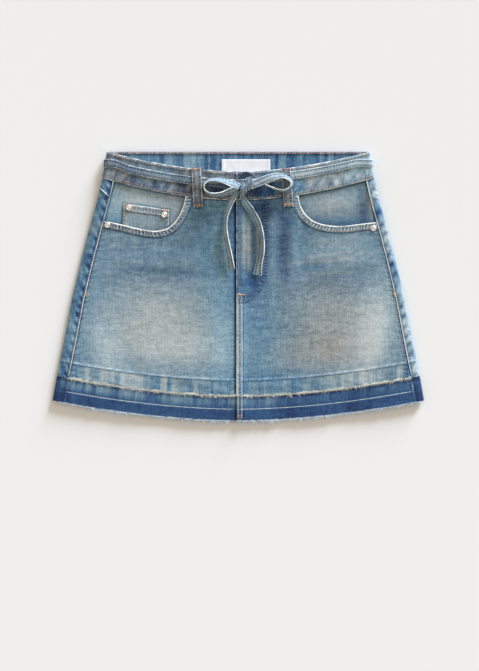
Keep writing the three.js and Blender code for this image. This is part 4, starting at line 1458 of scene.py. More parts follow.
def strap(name, nodes, route, width, seed, look, sheet, wrinkles=()):
    """A stitched strap along a route. Its frame is kept, so that stitches can be laid on it later."""
    centres, across, out = route
    tone, grey, edge = look
    width = np.broadcast_to(width, len(centres))
    run = distances(centres)
    u, v = np.meshgrid(ACROSS, run)
    row = bell(np.abs(u) - STITCH_AT, 0.26)
    waves = rope(v, 4.4, seed) * (u < 0) + rope(v, 4.1, seed + 5) * (u >= 0)
    rounding = smooth(0.85, 1, np.abs(u))
    lift = 0.14 * waves * row - 0.16 * bell(np.abs(u) - STITCH_AT, 0.1) - 0.3 * rounding
    for place, length, height in wrinkles:
        lift += height * bell(v + 2.5 * u - place, length)
    middle = centres[:, None, :] + across[:, None, :] * (u * width[:, None] / 2)[..., None]
    outer = middle + out[:, None, :] * (STRAP / 2 + lift)[..., None]
    inner = middle - out[:, None, :] * (STRAP / 2 - lift + 0.15 * rounding)[..., None]
    shade = tone + 0.3 * waves * row - 0.3 * bell(np.abs(u) - STITCH_AT, 0.2) + 0.08 * wander(v, 16, seed + 9)
    worn = edge * bell(1 - np.abs(u), 0.2) * (1 + 0.3 * wander(v, 6, seed + 11))
    worn += 0.25 * np.clip(waves, 0, 1) * row
    values = [shade, np.clip(grey + 0.2 * wander(v, 24, seed + 13), 0, 1) + 0 * u, worn]
    weave = np.stack([u * width[:, None] / 2, v, 0 * u], -1)
    made = shell(name, outer, inner, STRAP_DENIM, values, values, weave)
    STRAPS[name] = {"centres": centres, "across": across, "out": out, "width": width}
    keep(made, "denim_strap", *nodes, sheet=sheet)


# %% [markdown]
# The belt runs along the waistband from each side of the knot, round the side folds and across the back.

# %% Belt
BELT_DOWN = {"left": 17.5, "right": 11.5}
BELT_BACK_Y = 177
BELT_BACK_END = 150
CENTRE_LIFT = 2.2
BELT_CENTRE = 9
BELT_OFF = SEAM_GAP + STRAP / 2
BELT_DIP = (20, 60)
BELT_LOOKS = {"left": (0.48, 0.62, 0.62), "right": (0.79, 0.45, 0.62), "back": (0.5, 0.4, 0.62)}


def belt_down(side, x):
    """The belt's depth below the waistband's top edge. The right side sinks under the button."""
    return mix(BELT_DOWN["left"], BELT_DOWN[side], smooth(*BELT_DIP, np.abs(x)))


def across_back(x):
    """Places of the belt on the back of the skirt."""
    return np.stack([x, np.full_like(x, BELT_BACK_Y), np.full_like(x, BACK_RISE - BELT_OFF)], 1)


def belt_route(side):
    """The belt's way from the knot along the waistband, round the side fold and on to the back."""
    sign = SIGN[side]
    half = float(half_width(BELT_BACK_Y)) - BAND_FOLD_REACH
    x = np.linspace(BELT_CENTRE + sign * 0.2, sign * half, 170)
    front_y = curve_y("waist_top", x) - belt_down(side, x)
    y = mix(front_y, BELT_BACK_Y, smooth(0.84, 1, np.abs(x) / half))
    lift = CENTRE_LIFT * (1 - smooth(12, 42, np.abs(x - BELT_CENTRE)))
    front = np.stack([x, y, band_top(x, y) + BELT_OFF + lift + 0.15 * wander(x, 12, 90)], 1)
    turn = np.pi * (0.5 - np.linspace(0, 1, 16)[1:])
    high = float(band_top(sign * half, BELT_BACK_Y))
    fold_x = sign * (half + (BAND_FOLD_REACH + BELT_OFF) * np.cos(turn))
    fold_z = (high + BACK_RISE) / 2 + ((high - BACK_RISE) / 2 + BELT_OFF) * np.sin(turn)
    fold = np.stack([fold_x, np.full_like(fold_x, BELT_BACK_Y), fold_z], 1)
    back = across_back(np.linspace(sign * half, sign * BELT_BACK_END, 20)[1:])
    return np.vstack([front, fold, back])


for side in ("left", "right"):
    route = frames(belt_route(side), across=np.array([0, SIGN[side], 0.0]))
    sheet = laid(BELT_WIDTH * MM, 0.235, f"waistband_front_{side}")
    strap(f"belt_{side}", [f"tie_belt_{side}"], route, BELT_WIDTH, 100 + SIGN[side], BELT_LOOKS[side], sheet)
x = np.linspace(-BELT_BACK_END, BELT_BACK_END, 200) * (1 - SEAM_GAP / BELT_BACK_END)
route = frames(across_back(x), across=np.array([0, -1, 0.0]))
sheet = laid(BELT_WIDTH * MM, 0.3, "belt_loop_back")
strap("belt_back", ["tie_belt_back"], route, BELT_WIDTH, 120, BELT_LOOKS["back"], sheet)

# %% [markdown]
# Belt loops are short straps sewn on at both ends, so they stand up where the belt passes under them.

# %% Belt loops


def loop_route(side):
    """A belt loop's way from its top end over the belt to its low end."""
    (top_x, top_y), (low_x, low_y) = LOOPS[side]
    middle = (top_x + low_x) / 2
    belt_y = float(curve_y("waist_top", middle) - belt_down(side, middle))
    seam_y = float(curve_y("waist_seam", middle))
    over_belt = STRAP + SEAM_GAP + 0.4
    reach = BELT_WIDTH / 2
    stations = [
        (top_y, 0.2),
        (min(top_y - 1, belt_y + reach + 6), over_belt * 0.55),
        (belt_y + reach + 2.5, over_belt),
        (belt_y, over_belt + 0.2),
        (belt_y - reach - 2.5, over_belt),
        (belt_y - reach - 8, 0.5),
        (seam_y + 1, 0.3),
        (seam_y - 5, 0.3),
        (low_y, 0.2),
    ]
    rows = []
    for y, over in stations:
        x = mix(low_x, top_x, (y - low_y) / (top_y - low_y))
        panel = max(float(front_top(x + f * LOOP_WIDTH, y)) for f in (-0.5, 0, 0.5))
        under = float(band_top(x, y)) + 0.1 if y > seam_y else panel
        rows.append((x, y, under + SEAM_GAP + STRAP / 2 + over))
    return through(rows, 1.0)


LOOP_LOOKS = {"left": (0.42, 0.7, 0.6), "right": (0.49, 0.7, 0.6), "back": (0.5, 0.4, 0.7)}
for side in ("left", "right"):
    centres = loop_route(side)
    route = frames(centres, tilt=np.zeros(len(centres)))
    sheet = laid(LOOP_WIDTH * MM, 0.06, f"waistband_front_{side}")
    strap(f"loop_{side}", [f"belt_loop_{side}"], route, LOOP_WIDTH, 130 + SIGN[side], LOOP_LOOKS[side], sheet)
y = np.linspace(TOP_Y - 1, TOP_Y - 60, 50)
route = frames(np.stack([0 * y, y, np.full_like(y, STRAP / 2)], 1), across=np.array([-1, 0, 0.0]))
sheet = laid(LOOP_WIDTH * MM, 0.059)
strap("loop_back", ["belt_loop_back"], route, LOOP_WIDTH, 140, LOOP_LOOKS["back"], sheet)

# %% [markdown]
# ## The bow
#
# Each loop and each tail follows a route read from the photograph. Besides its place, each row gives
# the tilt: 0 lies flat, 90 stands on edge. The strap twists between the rows, as a tied strap does.

# %% Bow routes
BOW_COLUMNS = "x y z tilt width"
BOW = {
    "bow_loop_left": table(
        BOW_COLUMNS,
        (2, 142.5, 7.2, 24, 9),
        (-8, 147, 8, 36, BELT_WIDTH),
        (-22, 151.5, 8.3, 55, BELT_WIDTH),
        (-36, 153.4, 8.4, 68, BELT_WIDTH),
        (-46.5, 150, 8.4, 80, BELT_WIDTH),
        (-50, 143, 8.4, 86, BELT_WIDTH),
        (-47, 135.8, 8.4, 80, BELT_WIDTH),
        (-38, 131.0, 8.2, 68, BELT_WIDTH),
        (-24, 131.6, 8.2, 60, BELT_WIDTH),
        (-12, 136, 8.2, 46, BELT_WIDTH),
        (-2.5, 138.6, 7.7, 36, 9),
    ),
    "bow_loop_right": table(
        BOW_COLUMNS,
        (16.8, 144, 7.6, -6, 10),
        (26, 148, 8, -8, BELT_WIDTH),
        (38, 152.8, 8.4, -12, BELT_WIDTH),
        (50, 157, 8.7, -28, BELT_WIDTH),
        (62, 158.6, 9.5, -50, BELT_WIDTH),
        (70.5, 156, 10.1, -64, BELT_WIDTH),
        (77, 149.5, 10.1, -72, BELT_WIDTH),
        (75, 141.4, 9.9, -76, BELT_WIDTH),
        (66, 136.8, 9.5, -80, BELT_WIDTH),
        (55, 138.6, 8.5, -82, BELT_WIDTH),
        (46, 142, 7.6, -80, 9),
        (38.5, 145.2, 7.0, -76, 7),
    ),
    "tie_tail_left": table(
        BOW_COLUMNS,
        (-0.5, 138.5, 3, 4, 7),
        (-5.5, 131, 3, 18, 9),
        (-10.5, 122, 3.4, 32, 10),
        (-15, 111, 3.4, 45, 10),
        (-18.6, 98, 3.1, 52, 10),
        (-19.4, 84, 2.9, 55, 10),
        (-17, 66, 2.3, 52, 10),
        (-13.5, 47, 1.0, 40, 10),
        (-9.8, 25, -1.2, 20, 10),
    ),
    "tie_tail_right": table(
        BOW_COLUMNS,
        (4.8, 133.5, 2.8, 0, 7),
        (8.5, 123, 2.6, 4, 8.5),
        (14.5, 114.5, 2.4, 10, 10),
        (20, 106, 2.3, 18, 10),
        (28.5, 90, 2.1, 34, 10),
        (33.8, 70, 1.7, 56, 10),
        (34, 52, 0.6, 52, 10),
        (30, 34, -1.6, 26, 10),
        (27.4, 16.4, -3.0, 6, 12.4),
    ),
    "bow_turn": table(
        BOW_COLUMNS,
        (14.6, 156.4, 9.2, 8, 9.0),
        (15.2, 153.4, 10.6, 6, 10.2),
        (15.8, 149, 11.2, 4, 9.6),
        (15.8, 144.6, 10.4, 2, 7.2),
        (15.4, 140.6, 9.2, 0, 4.6),
        (15.2, 137.8, 8.2, 0, 2.6),
    ),
    "bow_wrap": table(
        BOW_COLUMNS,
        (9.6, 149.6, 7.6, 10, 7.6),
        (9.2, 147.2, 10.4, 8, 8.2),
        (8.2, 142.5, 11.3, 0, 8.6),
        (7.2, 137.5, 11.0, -6, 8.6),
        (6.4, 133.4, 8.8, -8, 8),
        (6, 130.4, 5.8, -6, 7.4),
        (6.2, 127.8, 4.2, 0, 7.2),
    ),
}
# Each wrinkle is a place along the strap, a length and a height.
BOW_WRINKLES = {
    "bow_loop_left": [
        (8, 2, 0.4), (15, 2.6, -0.35), (30, 4, 0.3), (62, 3, -0.3), (104, 2.6, 0.4), (112, 2, -0.3)
    ],
    "bow_loop_right": [(6, 2, 0.4), (13, 2.6, -0.3), (34, 5, 0.35), (58, 3, -0.3), (92, 2.6, 0.35)],
    "tie_tail_left": [(6, 1.8, 0.3), (14, 2.6, -0.3), (44, 5, 0.3), (80, 6, -0.25)],
    "tie_tail_right": [(6, 1.8, 0.3), (20, 3, -0.3), (60, 6, 0.3), (96, 5, -0.3)],
    "bow_turn": [(5, 1.3, -0.3), (9, 1.6, 0.35), (13, 1.3, -0.3)],
    "bow_wrap": [(5, 1.2, -0.35), (9, 1.4, 0.3), (14, 1.3, -0.35), (19, 1.5, 0.3)],
}
BOW_LOOKS = {
    "loop": (0.64, 0.55, 0.6),
    "tail": (0.66, 0.25, 0.66),
    "turn": (0.6, 0.5, 0.5),
    "wrap": (0.54, 0.5, 0.42),
}
print(len(BOW), "stretches of strap in the bow")

# %% Bow
BAND_MIDDLE = float(band_top(0, 142))
for number, (name, rows) in enumerate(BOW.items()):
    rows = through([[r[key] for key in BOW_COLUMNS.split()] for r in rows], 1.2)
    route = frames(rows[:, :3] + BAND_MIDDLE * UP, tilt=rows[:, 3])
    length = float(distances(route[0])[-1]) * MM
    sheet = laid(BELT_WIDTH * MM, round(length, 3), "waistband_front_left")
    nodes = [] if name in ("bow_turn", "bow_wrap") else [name]
    look = BOW_LOOKS[name.split("_")[1]]
    strap(f"{name}_strap", nodes, route, rows[:, 4], 150 + 20 * number, look, sheet, BOW_WRINKLES[name])

# %% [markdown]
# The knot is a turn of the strap pulled tight. It is a squarish tube whose surface is gathered into folds
# along its height, deeper at the two ends where the strap is squeezed.

# %% Knot
KNOT = {"x": 8.4, "y": 141, "lift": 4.1, "width": 10.4, "depth": 6.2, "length": 15, "round": 30}
KNOT_SIDES = 72
KNOT_RINGS = 40
KNOT_SIZES = [(-0.5, 0.66), (-0.44, 0.8), (-0.3, 0.94), (0, 1.0), (0.3, 0.95), (0.44, 0.84), (0.5, 0.68)]
KNOT_SQUARENESS = 0.72
# Each fold is a place round the knot, a width and a height.
KNOT_FOLDS = [
    (0.07, 0.03, -0.8),
    (0.16, 0.03, 0.5),
    (0.24, 0.028, -0.9),
    (0.33, 0.035, 0.4),
    (0.42, 0.03, -0.7),
]


def signed_power(v, power):
    return np.sign(v) * np.abs(v) ** power


def ring_faces(rings, sides):
    """Faces of a tube that is closed at its first ring, and the numbers of the points of its last ring."""
    number = np.arange(rings * sides).reshape(rings, sides)
    following = np.roll(number, -1, axis=1)
    faces = np.stack([number[:-1], following[:-1], following[1:], number[1:]], -1).reshape(-1, 4).tolist()
    return faces + [number[0, ::-1].tolist()], number[-1].tolist()


turn = np.linspace(0, 1, KNOT_SIDES + 1)[:-1]
along = np.linspace(-0.5, 0.5, KNOT_RINGS)
f, t = np.meshgrid(turn, along)
size = np.interp(t, [k[0] for k in KNOT_SIZES], [k[1] for k in KNOT_SIZES])
gather = sum(height * bell(f + 0.03 * np.sin(5 * t) - place, width) for place, width, height in KNOT_FOLDS)
size = size + gather * (0.55 + 0.9 * np.abs(t)) / 9
middle = BAND_MIDDLE + KNOT["lift"] + KNOT["depth"] / 2
points = np.stack(
    [
        KNOT["x"] + KNOT["width"] / 2 * size * signed_power(np.cos(2 * np.pi * f), KNOT_SQUARENESS),
        KNOT["y"] + KNOT["length"] * t + 0.5 * np.sin(9 * f),
        middle + KNOT["depth"] / 2 * size * signed_power(np.sin(2 * np.pi * f), KNOT_SQUARENESS),
    ],
    -1,
)
faces, last_ring = ring_faces(*f.shape)
faces.append(last_ring)
values = {
    "tone": np.ravel(0.4 + 0.16 * gather),
    "grey": np.full(f.size, 0.45),
    "worn": np.ravel(0.5 * np.clip(gather, 0, 1) + 0.35 * bell(np.abs(t) - 0.47, 0.03)),
    "weave": np.stack([KNOT["round"] * f, KNOT["length"] * t, 0 * f], -1).reshape(-1, 3) * MM,
}
points = points.reshape(-1, 3)
knot = mesh_object("knot_of_bow", points, turned_out(points, faces), STRAP_DENIM, values)
keep(knot, "denim_strap", "bow_knot")

# %% [markdown]
# ## Thread
#
# Topstitching is what makes denim read as denim, so each stitch is real geometry: a short thread, thicker in
# the middle, whose ends dip into the cloth. All the stitches of one thread are built as one mesh. A random
# value is kept for each stitch, and the material turns it into small differences of colour.

# %% Thread


def thread_material(name, dark, middle, pale):
    material, w, shader = new_material(name, 0.7)
    shader.inputs["Sheen Weight"].default_value = 0.15
    shade = w.attribute("fade")
    fibre = w.noise(w.attribute("weave", "Vector"), (3000, 3000, 3000), 2, 0.6)
    mixed = w.add(w.times(shade, 0.75), w.times(fibre, 0.3))
    stops = [(0.1, linear(*dark)), (0.5, linear(*middle)), (0.95, linear(*pale))]
    w.put(shader.inputs["Base Color"], w.ramp(mixed, stops))
    w.put(shader.inputs["Roughness"], w.range(fibre, 0.3, 0.7, 0.6, 0.8))
    bump(w, shader, fibre, 0.3, 0.0001)
    return material


# The dark, the middle and the pale colour of each thread.
THREAD_COLOURS = {
    "rust_thread": ((96, 76, 80), (144, 110, 98), (198, 168, 148)),
    "orange_thread": ((140, 92, 72), (190, 130, 94), (222, 178, 142)),
    "chain_thread": ((96, 72, 64), (152, 112, 90), (198, 156, 130)),
    "cream_thread": ((176, 182, 180), (214, 214, 206), (236, 234, 226)),
    "plum_thread": ((62, 74, 112), (92, 100, 130), (140, 148, 166)),
    "frayed_weft": ((128, 160, 188), (192, 208, 218), (238, 240, 238)),
    "frayed_warp": ((84, 116, 150), (136, 164, 186), (196, 208, 214)),
}
YARN = {name: thread_material(name, *colours) for name, colours in THREAD_COLOURS.items()}
print(len(YARN), "threads")

# %% Sewing
# Each ring of a stitch is a place along it, a share of its thickness and a rise.
STITCH_RINGS = [
    (-0.5, 0.45, -0.9),
    (-0.28, 0.95, -0.1),
    (0, 1.0, 0.12),
    (0.28, 0.95, -0.1),
    (0.5, 0.45, -0.9),
]
STITCH_SIDES = 5
TACK_SPACING = 0.62
THREADS = {}


def read_at(places, run, values):
    """Values that are known along a line, read at other places along it."""
    return np.stack([np.interp(places, run, values[:, k]) for k in range(3)], 1)


def sew(group, line, pitch, length=2.6, normal=UP):
    """Adds one row of stitches along a line in space."""
    line = np.asarray(line, float)
    run = distances(line)
    places = np.arange(pitch / 2, run[-1] - pitch / 2, pitch)
    if len(places) == 0:
        return
    starts = read_at(places - length / 2, run, line)
    ends = read_at(places + length / 2, run, line)
    ups = read_at(places, run, np.broadcast_to(normal, line.shape))
    THREADS.setdefault(group, []).append((starts, ends, ups))


def bar_tack(group, centre, ahead, length, width, count=None):
    """A dense row of crosswise stitches that ends a seam."""
    ahead = np.asarray(ahead, float) / np.linalg.norm(ahead)
    across = np.cross(UP, ahead)
    count = count or max(4, int(length / TACK_SPACING))
    t = np.linspace(-0.5, 0.5, count)[:, None]
    sway = 0.3 * np.random.default_rng(int(1000 + 10 * length)).uniform(-1, 1, (count, 1))
    middle = np.asarray(centre, float) + ahead * t * length + across * sway * 0.5
    half = across * width / 2 + ahead * 0.25
    ups = np.broadcast_to(UP, middle.shape)
    THREADS.setdefault(group, []).append((middle - half, middle + half, ups))


def tube_faces(tubes, rings, sides):
    """Faces of many closed tubes, whose points come tube by tube and ring by ring."""
    i = np.arange(sides)
    ring = np.stack([i, (i + 1) % sides, (i + 1) % sides + sides, i + sides], -1)
    walls = (ring + sides * np.arange(rings - 1)[:, None, None]).reshape(-1, 4)
    caps = np.stack([i[::-1], sides * (rings - 1) + i])
    first = rings * sides * np.arange(tubes)[:, None, None]
    return (first + walls).reshape(-1, 4).tolist() + (first + caps).reshape(-1, sides).tolist()


def thread_mesh(name, group, radius, seed):
    starts, ends, ups = (np.concatenate([row[k] for row in THREADS[group]]) for k in range(3))
    ahead = ends - starts
    length = np.linalg.norm(ahead, axis=1)[:, None]
    ahead = ahead / length
    side = np.cross(ups, ahead)
    side /= np.linalg.norm(side, axis=1)[:, None]
    rise = np.cross(ahead, side)
    turn = 2 * np.pi * np.arange(STITCH_SIDES) / STITCH_SIDES
    circle = side[:, None] * np.cos(turn)[:, None] + rise[:, None] * np.sin(turn)[:, None]
    rings = []
    for along, thick, drop in STITCH_RINGS:
        centre = (starts + ends) / 2 + ahead * along * length + rise * drop * radius
        rings.append(centre[:, None] + radius * thick * circle)
    points = np.stack(rings, 1).reshape(-1, 3)
    faces = tube_faces(len(starts), len(STITCH_RINGS), STITCH_SIDES)
    shade = np.random.default_rng(seed).uniform(0, 1, len(starts))
    values = {"fade": np.repeat(shade, len(STITCH_RINGS) * STITCH_SIDES), "weave": points * MM}
    print(name, len(starts), "stitches")
    return mesh_object(name, points, faces, YARN[f"{group}_thread"], values)


print("a stitch has", len(STITCH_RINGS) * STITCH_SIDES, "points")

# %% [markdown]
# Each row of stitches lies on one piece of cloth, a little above its finished surface. The table gives the
# line, how far beside it the row runs, the surface, and the thread.

# %% Rows of stitches
STITCH_RISE = 0.16


def coin_surface(x, y):
    return coin_height(x, y) + seam_effects(x, y, COIN_SEAMS, 45)[0]


SURFACES = {
    "left": lambda x, y: front_height("left", x, y),
    "right": lambda x, y: front_height("right", x, y),
    "hem_left": lambda x, y: hem_height("left", x, y),
    "hem_right": lambda x, y: hem_height("right", x, y),
    "band": band_height,
    "strip": strip_top,
    "coin": coin_surface,
    "inside": lambda x, y: BACK_RISE + BAND + 0 * x,
}
SEAM_ROWS = table(
    "line beside surface thread pitch",
    ("pocket_left", 1.9, "left", "rust", 3.2),
    ("pocket_left", 7.3, "left", "rust", 3.2),
    ("pocket_right", -1.9, "right", "rust", 3.2),
    ("pocket_right", -7.3, "right", "rust", 3.2),
    ("side_left", -0.9, "strip", "cream", 2.8),
    ("side_left", -2.9, "strip", "plum", 3.4),
    ("side_left", 2.6, "left", "plum", 3.6),
    ("side_right", 0.9, "strip", "cream", 2.8),
    ("side_right", 2.9, "strip", "plum", 3.2),
    ("side_right", -2.4, "right", "plum", 3.6),
    ("hem_stitch_left", 0, "hem_left", "cream", 3.0),
    ("hem_stitch_right", 0, "hem_right", "cream", 3.0),
    ("ridge_left", -0.4, "left", "plum", 4.5),
    ("ridge_right", -0.4, "right", "plum", 4.5),
    ("band_top_left", -3.2, "band", "rust", 3.1),
    ("band_top_right", -3.2, "band", "rust", 3.1),
    ("waist_left", 3.4, "band", "rust", 3.1),
    ("waist_right", 3.4, "band", "rust", 3.1),
    ("fly", 2.8, "right", "plum", 3.0),
    ("fly", -2.8, "right", "plum", 3.0),
    ("placket", -2.4, "right", "cream", 2.9),
    ("placket", 0.4, "right", "plum", 3.4),
    ("placket", 3.2, "right", "cream", 3.0),
    ("fly_edge", 2.0, "right", "plum", 3.0),
    ("band_back", 0, "inside", "chain", 2.6),
)
# Rows that stop at the centre front are cut into a left and a right stretch of their line.
STRETCHES = table(
    "line left_from left_to right_from right_to",
    ("hem_stitch", -248, -4, 0, 252),
    ("ridge", -241, -5, 1, 245),
    ("band_top", -190, -5, -1, 190),
    ("waist", -197, -5, -1, 197),
)
for row in STRETCHES:
    line = LINES[row["line"]]
    for side in ("left", "right"):
        inside = (line[:, 0] > row[f"{side}_from"]) & (line[:, 0] < row[f"{side}_to"])
        LINES[f"{row['line']}_{side}"] = line[inside]
LINES["fly_edge"] = downward(lambda y: LAP_EDGE, 120, -10)
LINES["band_back"] = crosswise(lambda x: TOP_Y - 2.2 + 0 * x, -182, 182)
SIDE_ROW_TOP = {"side_left": 94, "side_right": 92.4}
for row in SEAM_ROWS:
    line = beside(LINES[row["line"]], row["beside"])
    if row["line"] in SIDE_ROW_TOP:
        line = line[line[:, 1] < SIDE_ROW_TOP[row["line"]]]
        line = line[line[:, 1] > curve_y("crease", line[:, 0]) + 1]
    x, y = line.T
    z = SURFACES[row["surface"]](x, y) + STITCH_RISE
    sew(row["thread"], np.stack([x, y, z], 1), row["pitch"])
print(sum(len(rows) for rows in THREADS.values()), "rows of stitches")

# %% Stitches on the coin pocket and the straps
COIN_ROWS = [
    ((0.03, 0.07), (0.97, 0.07)),
    ((0.03, 0.24), (0.97, 0.24)),
    ((0.04, 0.03), (0.04, 1)),
    ((0.96, 0.03), (0.96, 1)),
]
COIN_STITCH = {"pitch": 2.9, "length": 2.2}
for start, end in COIN_ROWS:
    x, y = coin_line(start, end).T
    sew("rust", np.stack([x, y, coin_surface(x, y) + STITCH_RISE], 1), **COIN_STITCH)

STRAP_STITCH = {"pitch": 3.0, "length": 2.3}
STRAP_THREADS = {"belt": "plum", "loop": "rust", "bow": "plum", "tie": "plum"}
SHOWN_FACES = {"belt": [1], "loop": [1], "bow": [-1, 1], "tie": [-1, 1]}
for name, s in STRAPS.items():
    kind = name.split("_")[0]
    for side in (-1, 1):
        for face in SHOWN_FACES[kind]:
            off = s["out"] * face * (STRAP / 2 - 0.05)
            line = s["centres"] + s["across"] * (side * STITCH_AT * s["width"] / 2)[:, None] + off
            sew(STRAP_THREADS[kind], line, normal=s["out"] * face, **STRAP_STITCH)
print(sum(len(rows) for rows in THREADS.values()), "rows of stitches")

# %% [markdown]
# Bar tacks hold the ends of the loops, the pocket corners and the foot of the fly. They are the brightest
# orange on the skirt.

# %% Bar tacks
BAR_TACKS = table(
    "x y surface dx dy length width",
    (3.2, -12, "right", 1, 0, 12, 1.7),
    (-158.8, 117.6, "coin", 1, -0.14, 8, 2.6),
    (-105.2, 109.2, "coin", 1, -0.14, 7.5, 2.8),
    (-219, -11, "strip", 0.25, 1, 7, 2.6),
    (224.6, -11.5, "strip", -0.25, 1, 7, 2.6),
    (-199.5, 129.5, "strip", 0.7, 1, 3, 1.6),
    (-188, 125, "strip", 0.7, 1, 3, 1.6),
    (194, 120, "strip", -0.3, 1, 5, 1.6),
    (1.5, -186.5, "hem_right", 1, 0.1, 5, 1.4),
    (1.5, -189.5, "hem_right", 1, 0.1, 5, 1.4),
)
for tack in BAR_TACKS:
    x, y = np.array([tack["x"]]), np.array([tack["y"]])
    centre = np.concatenate([x, y, SURFACES[tack["surface"]](x, y) + STITCH_RISE])
    bar_tack("orange", centre, (tack["dx"], tack["dy"], 0), tack["length"], tack["width"])
LOOP_TACK = {"length": 11, "width": 3.0, "count": 15}
for side in ("left", "right"):
    s = STRAPS[f"loop_{side}"]
    for group, index in (("rust", 3), ("orange", -4)):
        centre = s["centres"][index] + s["out"][index] * (STRAP / 2)
        bar_tack(group, centre, s["across"][index], **LOOP_TACK)

SEWN = table(
    "name thread radius slot seed",
    ("rust_stitches", "rust", 0.54, "denim_band", 1),
    ("waist_chain_stitches", "chain", 1.0, "denim_band", 5),
    ("cream_stitches", "cream", 0.42, "denim_washed", 2),
    ("plum_stitches", "plum", 0.42, "denim_strap", 3),
    ("bar_tacks", "orange", 0.4, "denim_band", 4),
)
for row in SEWN:
    keep(thread_mesh(row["name"], row["thread"], row["radius"], row["seed"]), row["slot"])

# %% [markdown]
# ## Frayed threads
#
# A cut edge of denim sheds its blue warp and shows a fringe of white weft. The fringe is many fine threads of
# uneven length, bunched here and there. The worn crease above it has broken too, and sheds short white hairs.

# %% Fine threads
HAIR_STEPS = 4
HAIR_SIDES = 3


def hair_mesh(name, roots, ahead, lengths, radius, yarn, seed, curl=0.35, droop=0.0):
    """Fine threads from roots, each with its own bend."""
    rng = np.random.default_rng(seed)
    count = len(roots)
    t = np.linspace(0, 1, HAIR_STEPS + 1)[None, :, None]
    side = np.cross(UP, ahead)
    bend = rng.normal(0, curl, (count, 1, 1))
    wave = rng.normal(0, 0.14, (count, 1, 1))
    path = roots[:, None] + ahead[:, None] * t * lengths[:, None, None]
    path = path + side[:, None] * lengths[:, None, None] * (bend * t**2 + wave * np.sin(6 * t + 9 * bend))
    path = path + UP * (rng.normal(0, 0.1, (count, 1, 1)) * lengths[:, None, None] * t - droop * t)
    turn = 2 * np.pi * np.arange(HAIR_SIDES) / HAIR_SIDES
    thick = radius * (1 - 0.6 * t[..., None])
    ring = side[:, None, None] * np.cos(turn)[None, None, :, None] + UP * np.sin(turn)[None, None, :, None]
    points = (path[:, :, None] + thick * ring).reshape(-1, 3)
    faces = tube_faces(count, HAIR_STEPS + 1, HAIR_SIDES)
    shade = np.repeat(rng.uniform(0, 1, count), (HAIR_STEPS + 1) * HAIR_SIDES)
    return mesh_object(name, points, faces, YARN[yarn], {"fade": shade, "weave": points * MM})


def fringe(seed, left, right, count):
    """Places across the skirt and directions for a fringe, and the random numbers that go on from them."""
    rng = np.random.default_rng(seed)
    x = rng.uniform(left, right, count)
    x += 1.5 * wander(x, 5, seed)
    slope = rng.normal(0, 0.5, count)
    ahead = np.stack([slope, -np.ones(count), np.zeros(count)], 1)
    ahead /= np.linalg.norm(ahead, axis=1)[:, None]
    return x, ahead, rng


print("a fine thread has", (HAIR_STEPS + 1) * HAIR_SIDES, "points")

# %% Frays
LONGEST_HAIR = 5.5
EDGE_THREADS = 2200
CREASE_THREADS = 1300
WARP_THREADS = 420
FRAY_SPANS = {"left": (-258, LAP_UNDER), "right": (LAP_EDGE, 262)}
UPWARD_SHARE = 0.35
for number, (side, (left, right)) in enumerate(FRAY_SPANS.items()):
    x, ahead, rng = fringe(300 + number, left, right, EDGE_THREADS)
    y = curve_y("hem", x) + rng.uniform(0.2, 1.8, len(x))
    lengths = 1.1 + rng.gamma(2.2, 0.8, len(x)) * (0.25 + 2.6 * patches(x, 2.2, 302) ** 3)
    lengths = np.minimum(lengths + 0.7 * wander(x, 9, 303) ** 2, LONGEST_HAIR)
    z = hem_height(side, x, y) - rng.uniform(0.0, 0.7, len(x))
    roots = np.stack([x, y, z], 1)
    fray = hair_mesh(f"raw_edge_fringe_{side}", roots, ahead, lengths, 0.27, "frayed_weft", 310 + number)
    keep(fray, "denim_hem")
    x, ahead, rng = fringe(320 + number, left + 12, right - 12, CREASE_THREADS)
    y = curve_y("crease", x) + rng.uniform(-1.0, 0.8, len(x))
    lengths = 0.8 + rng.gamma(2.0, 1.1, len(x)) * (0.3 + 2.2 * patches(x, 2.4, 323) ** 3)
    ahead[:, 1] *= np.where(rng.random(len(x)) < UPWARD_SHARE, -1, 1)
    lengths = np.minimum(lengths, LONGEST_HAIR)
    z = front_height(side, x, y) - rng.uniform(0.0, 0.5, len(x))
    roots = np.stack([x, y, z], 1)
    name = f"crease_fringe_{side}"
    fray = hair_mesh(name, roots, ahead, lengths, 0.2, "cream_thread", 330 + number, curl=0.3, droop=0.5)
    keep(fray, "denim_hem")
x, ahead, rng = fringe(340, FRAY_SPANS["left"][0], FRAY_SPANS["right"][1], WARP_THREADS)
y = curve_y("hem", x) + rng.uniform(0.2, 1.2, len(x))
lengths = np.minimum(rng.gamma(2.6, 1.2, len(x)) + 0.8, LONGEST_HAIR)
z = hem_height("left", x, y) - rng.uniform(0.2, DENIM, len(x))
roots = np.stack([x, y, z], 1)
fray = hair_mesh("raw_edge_warp", roots, ahead, lengths, 0.15, "frayed_warp", 341, curl=0.5)
keep(fray, "denim_hem")

# %% [markdown]
# ## Metal
#
# Rivets and the button are pressed from sheet and plated. A lathe profile with fine steps gives the rim, the
# sunken ring and the crown. Wear rubs the plating bright on what stands up and leaves it dark in the ring.

# %% Profiles of the metal parts
RIVET_RADIUS = 4.25
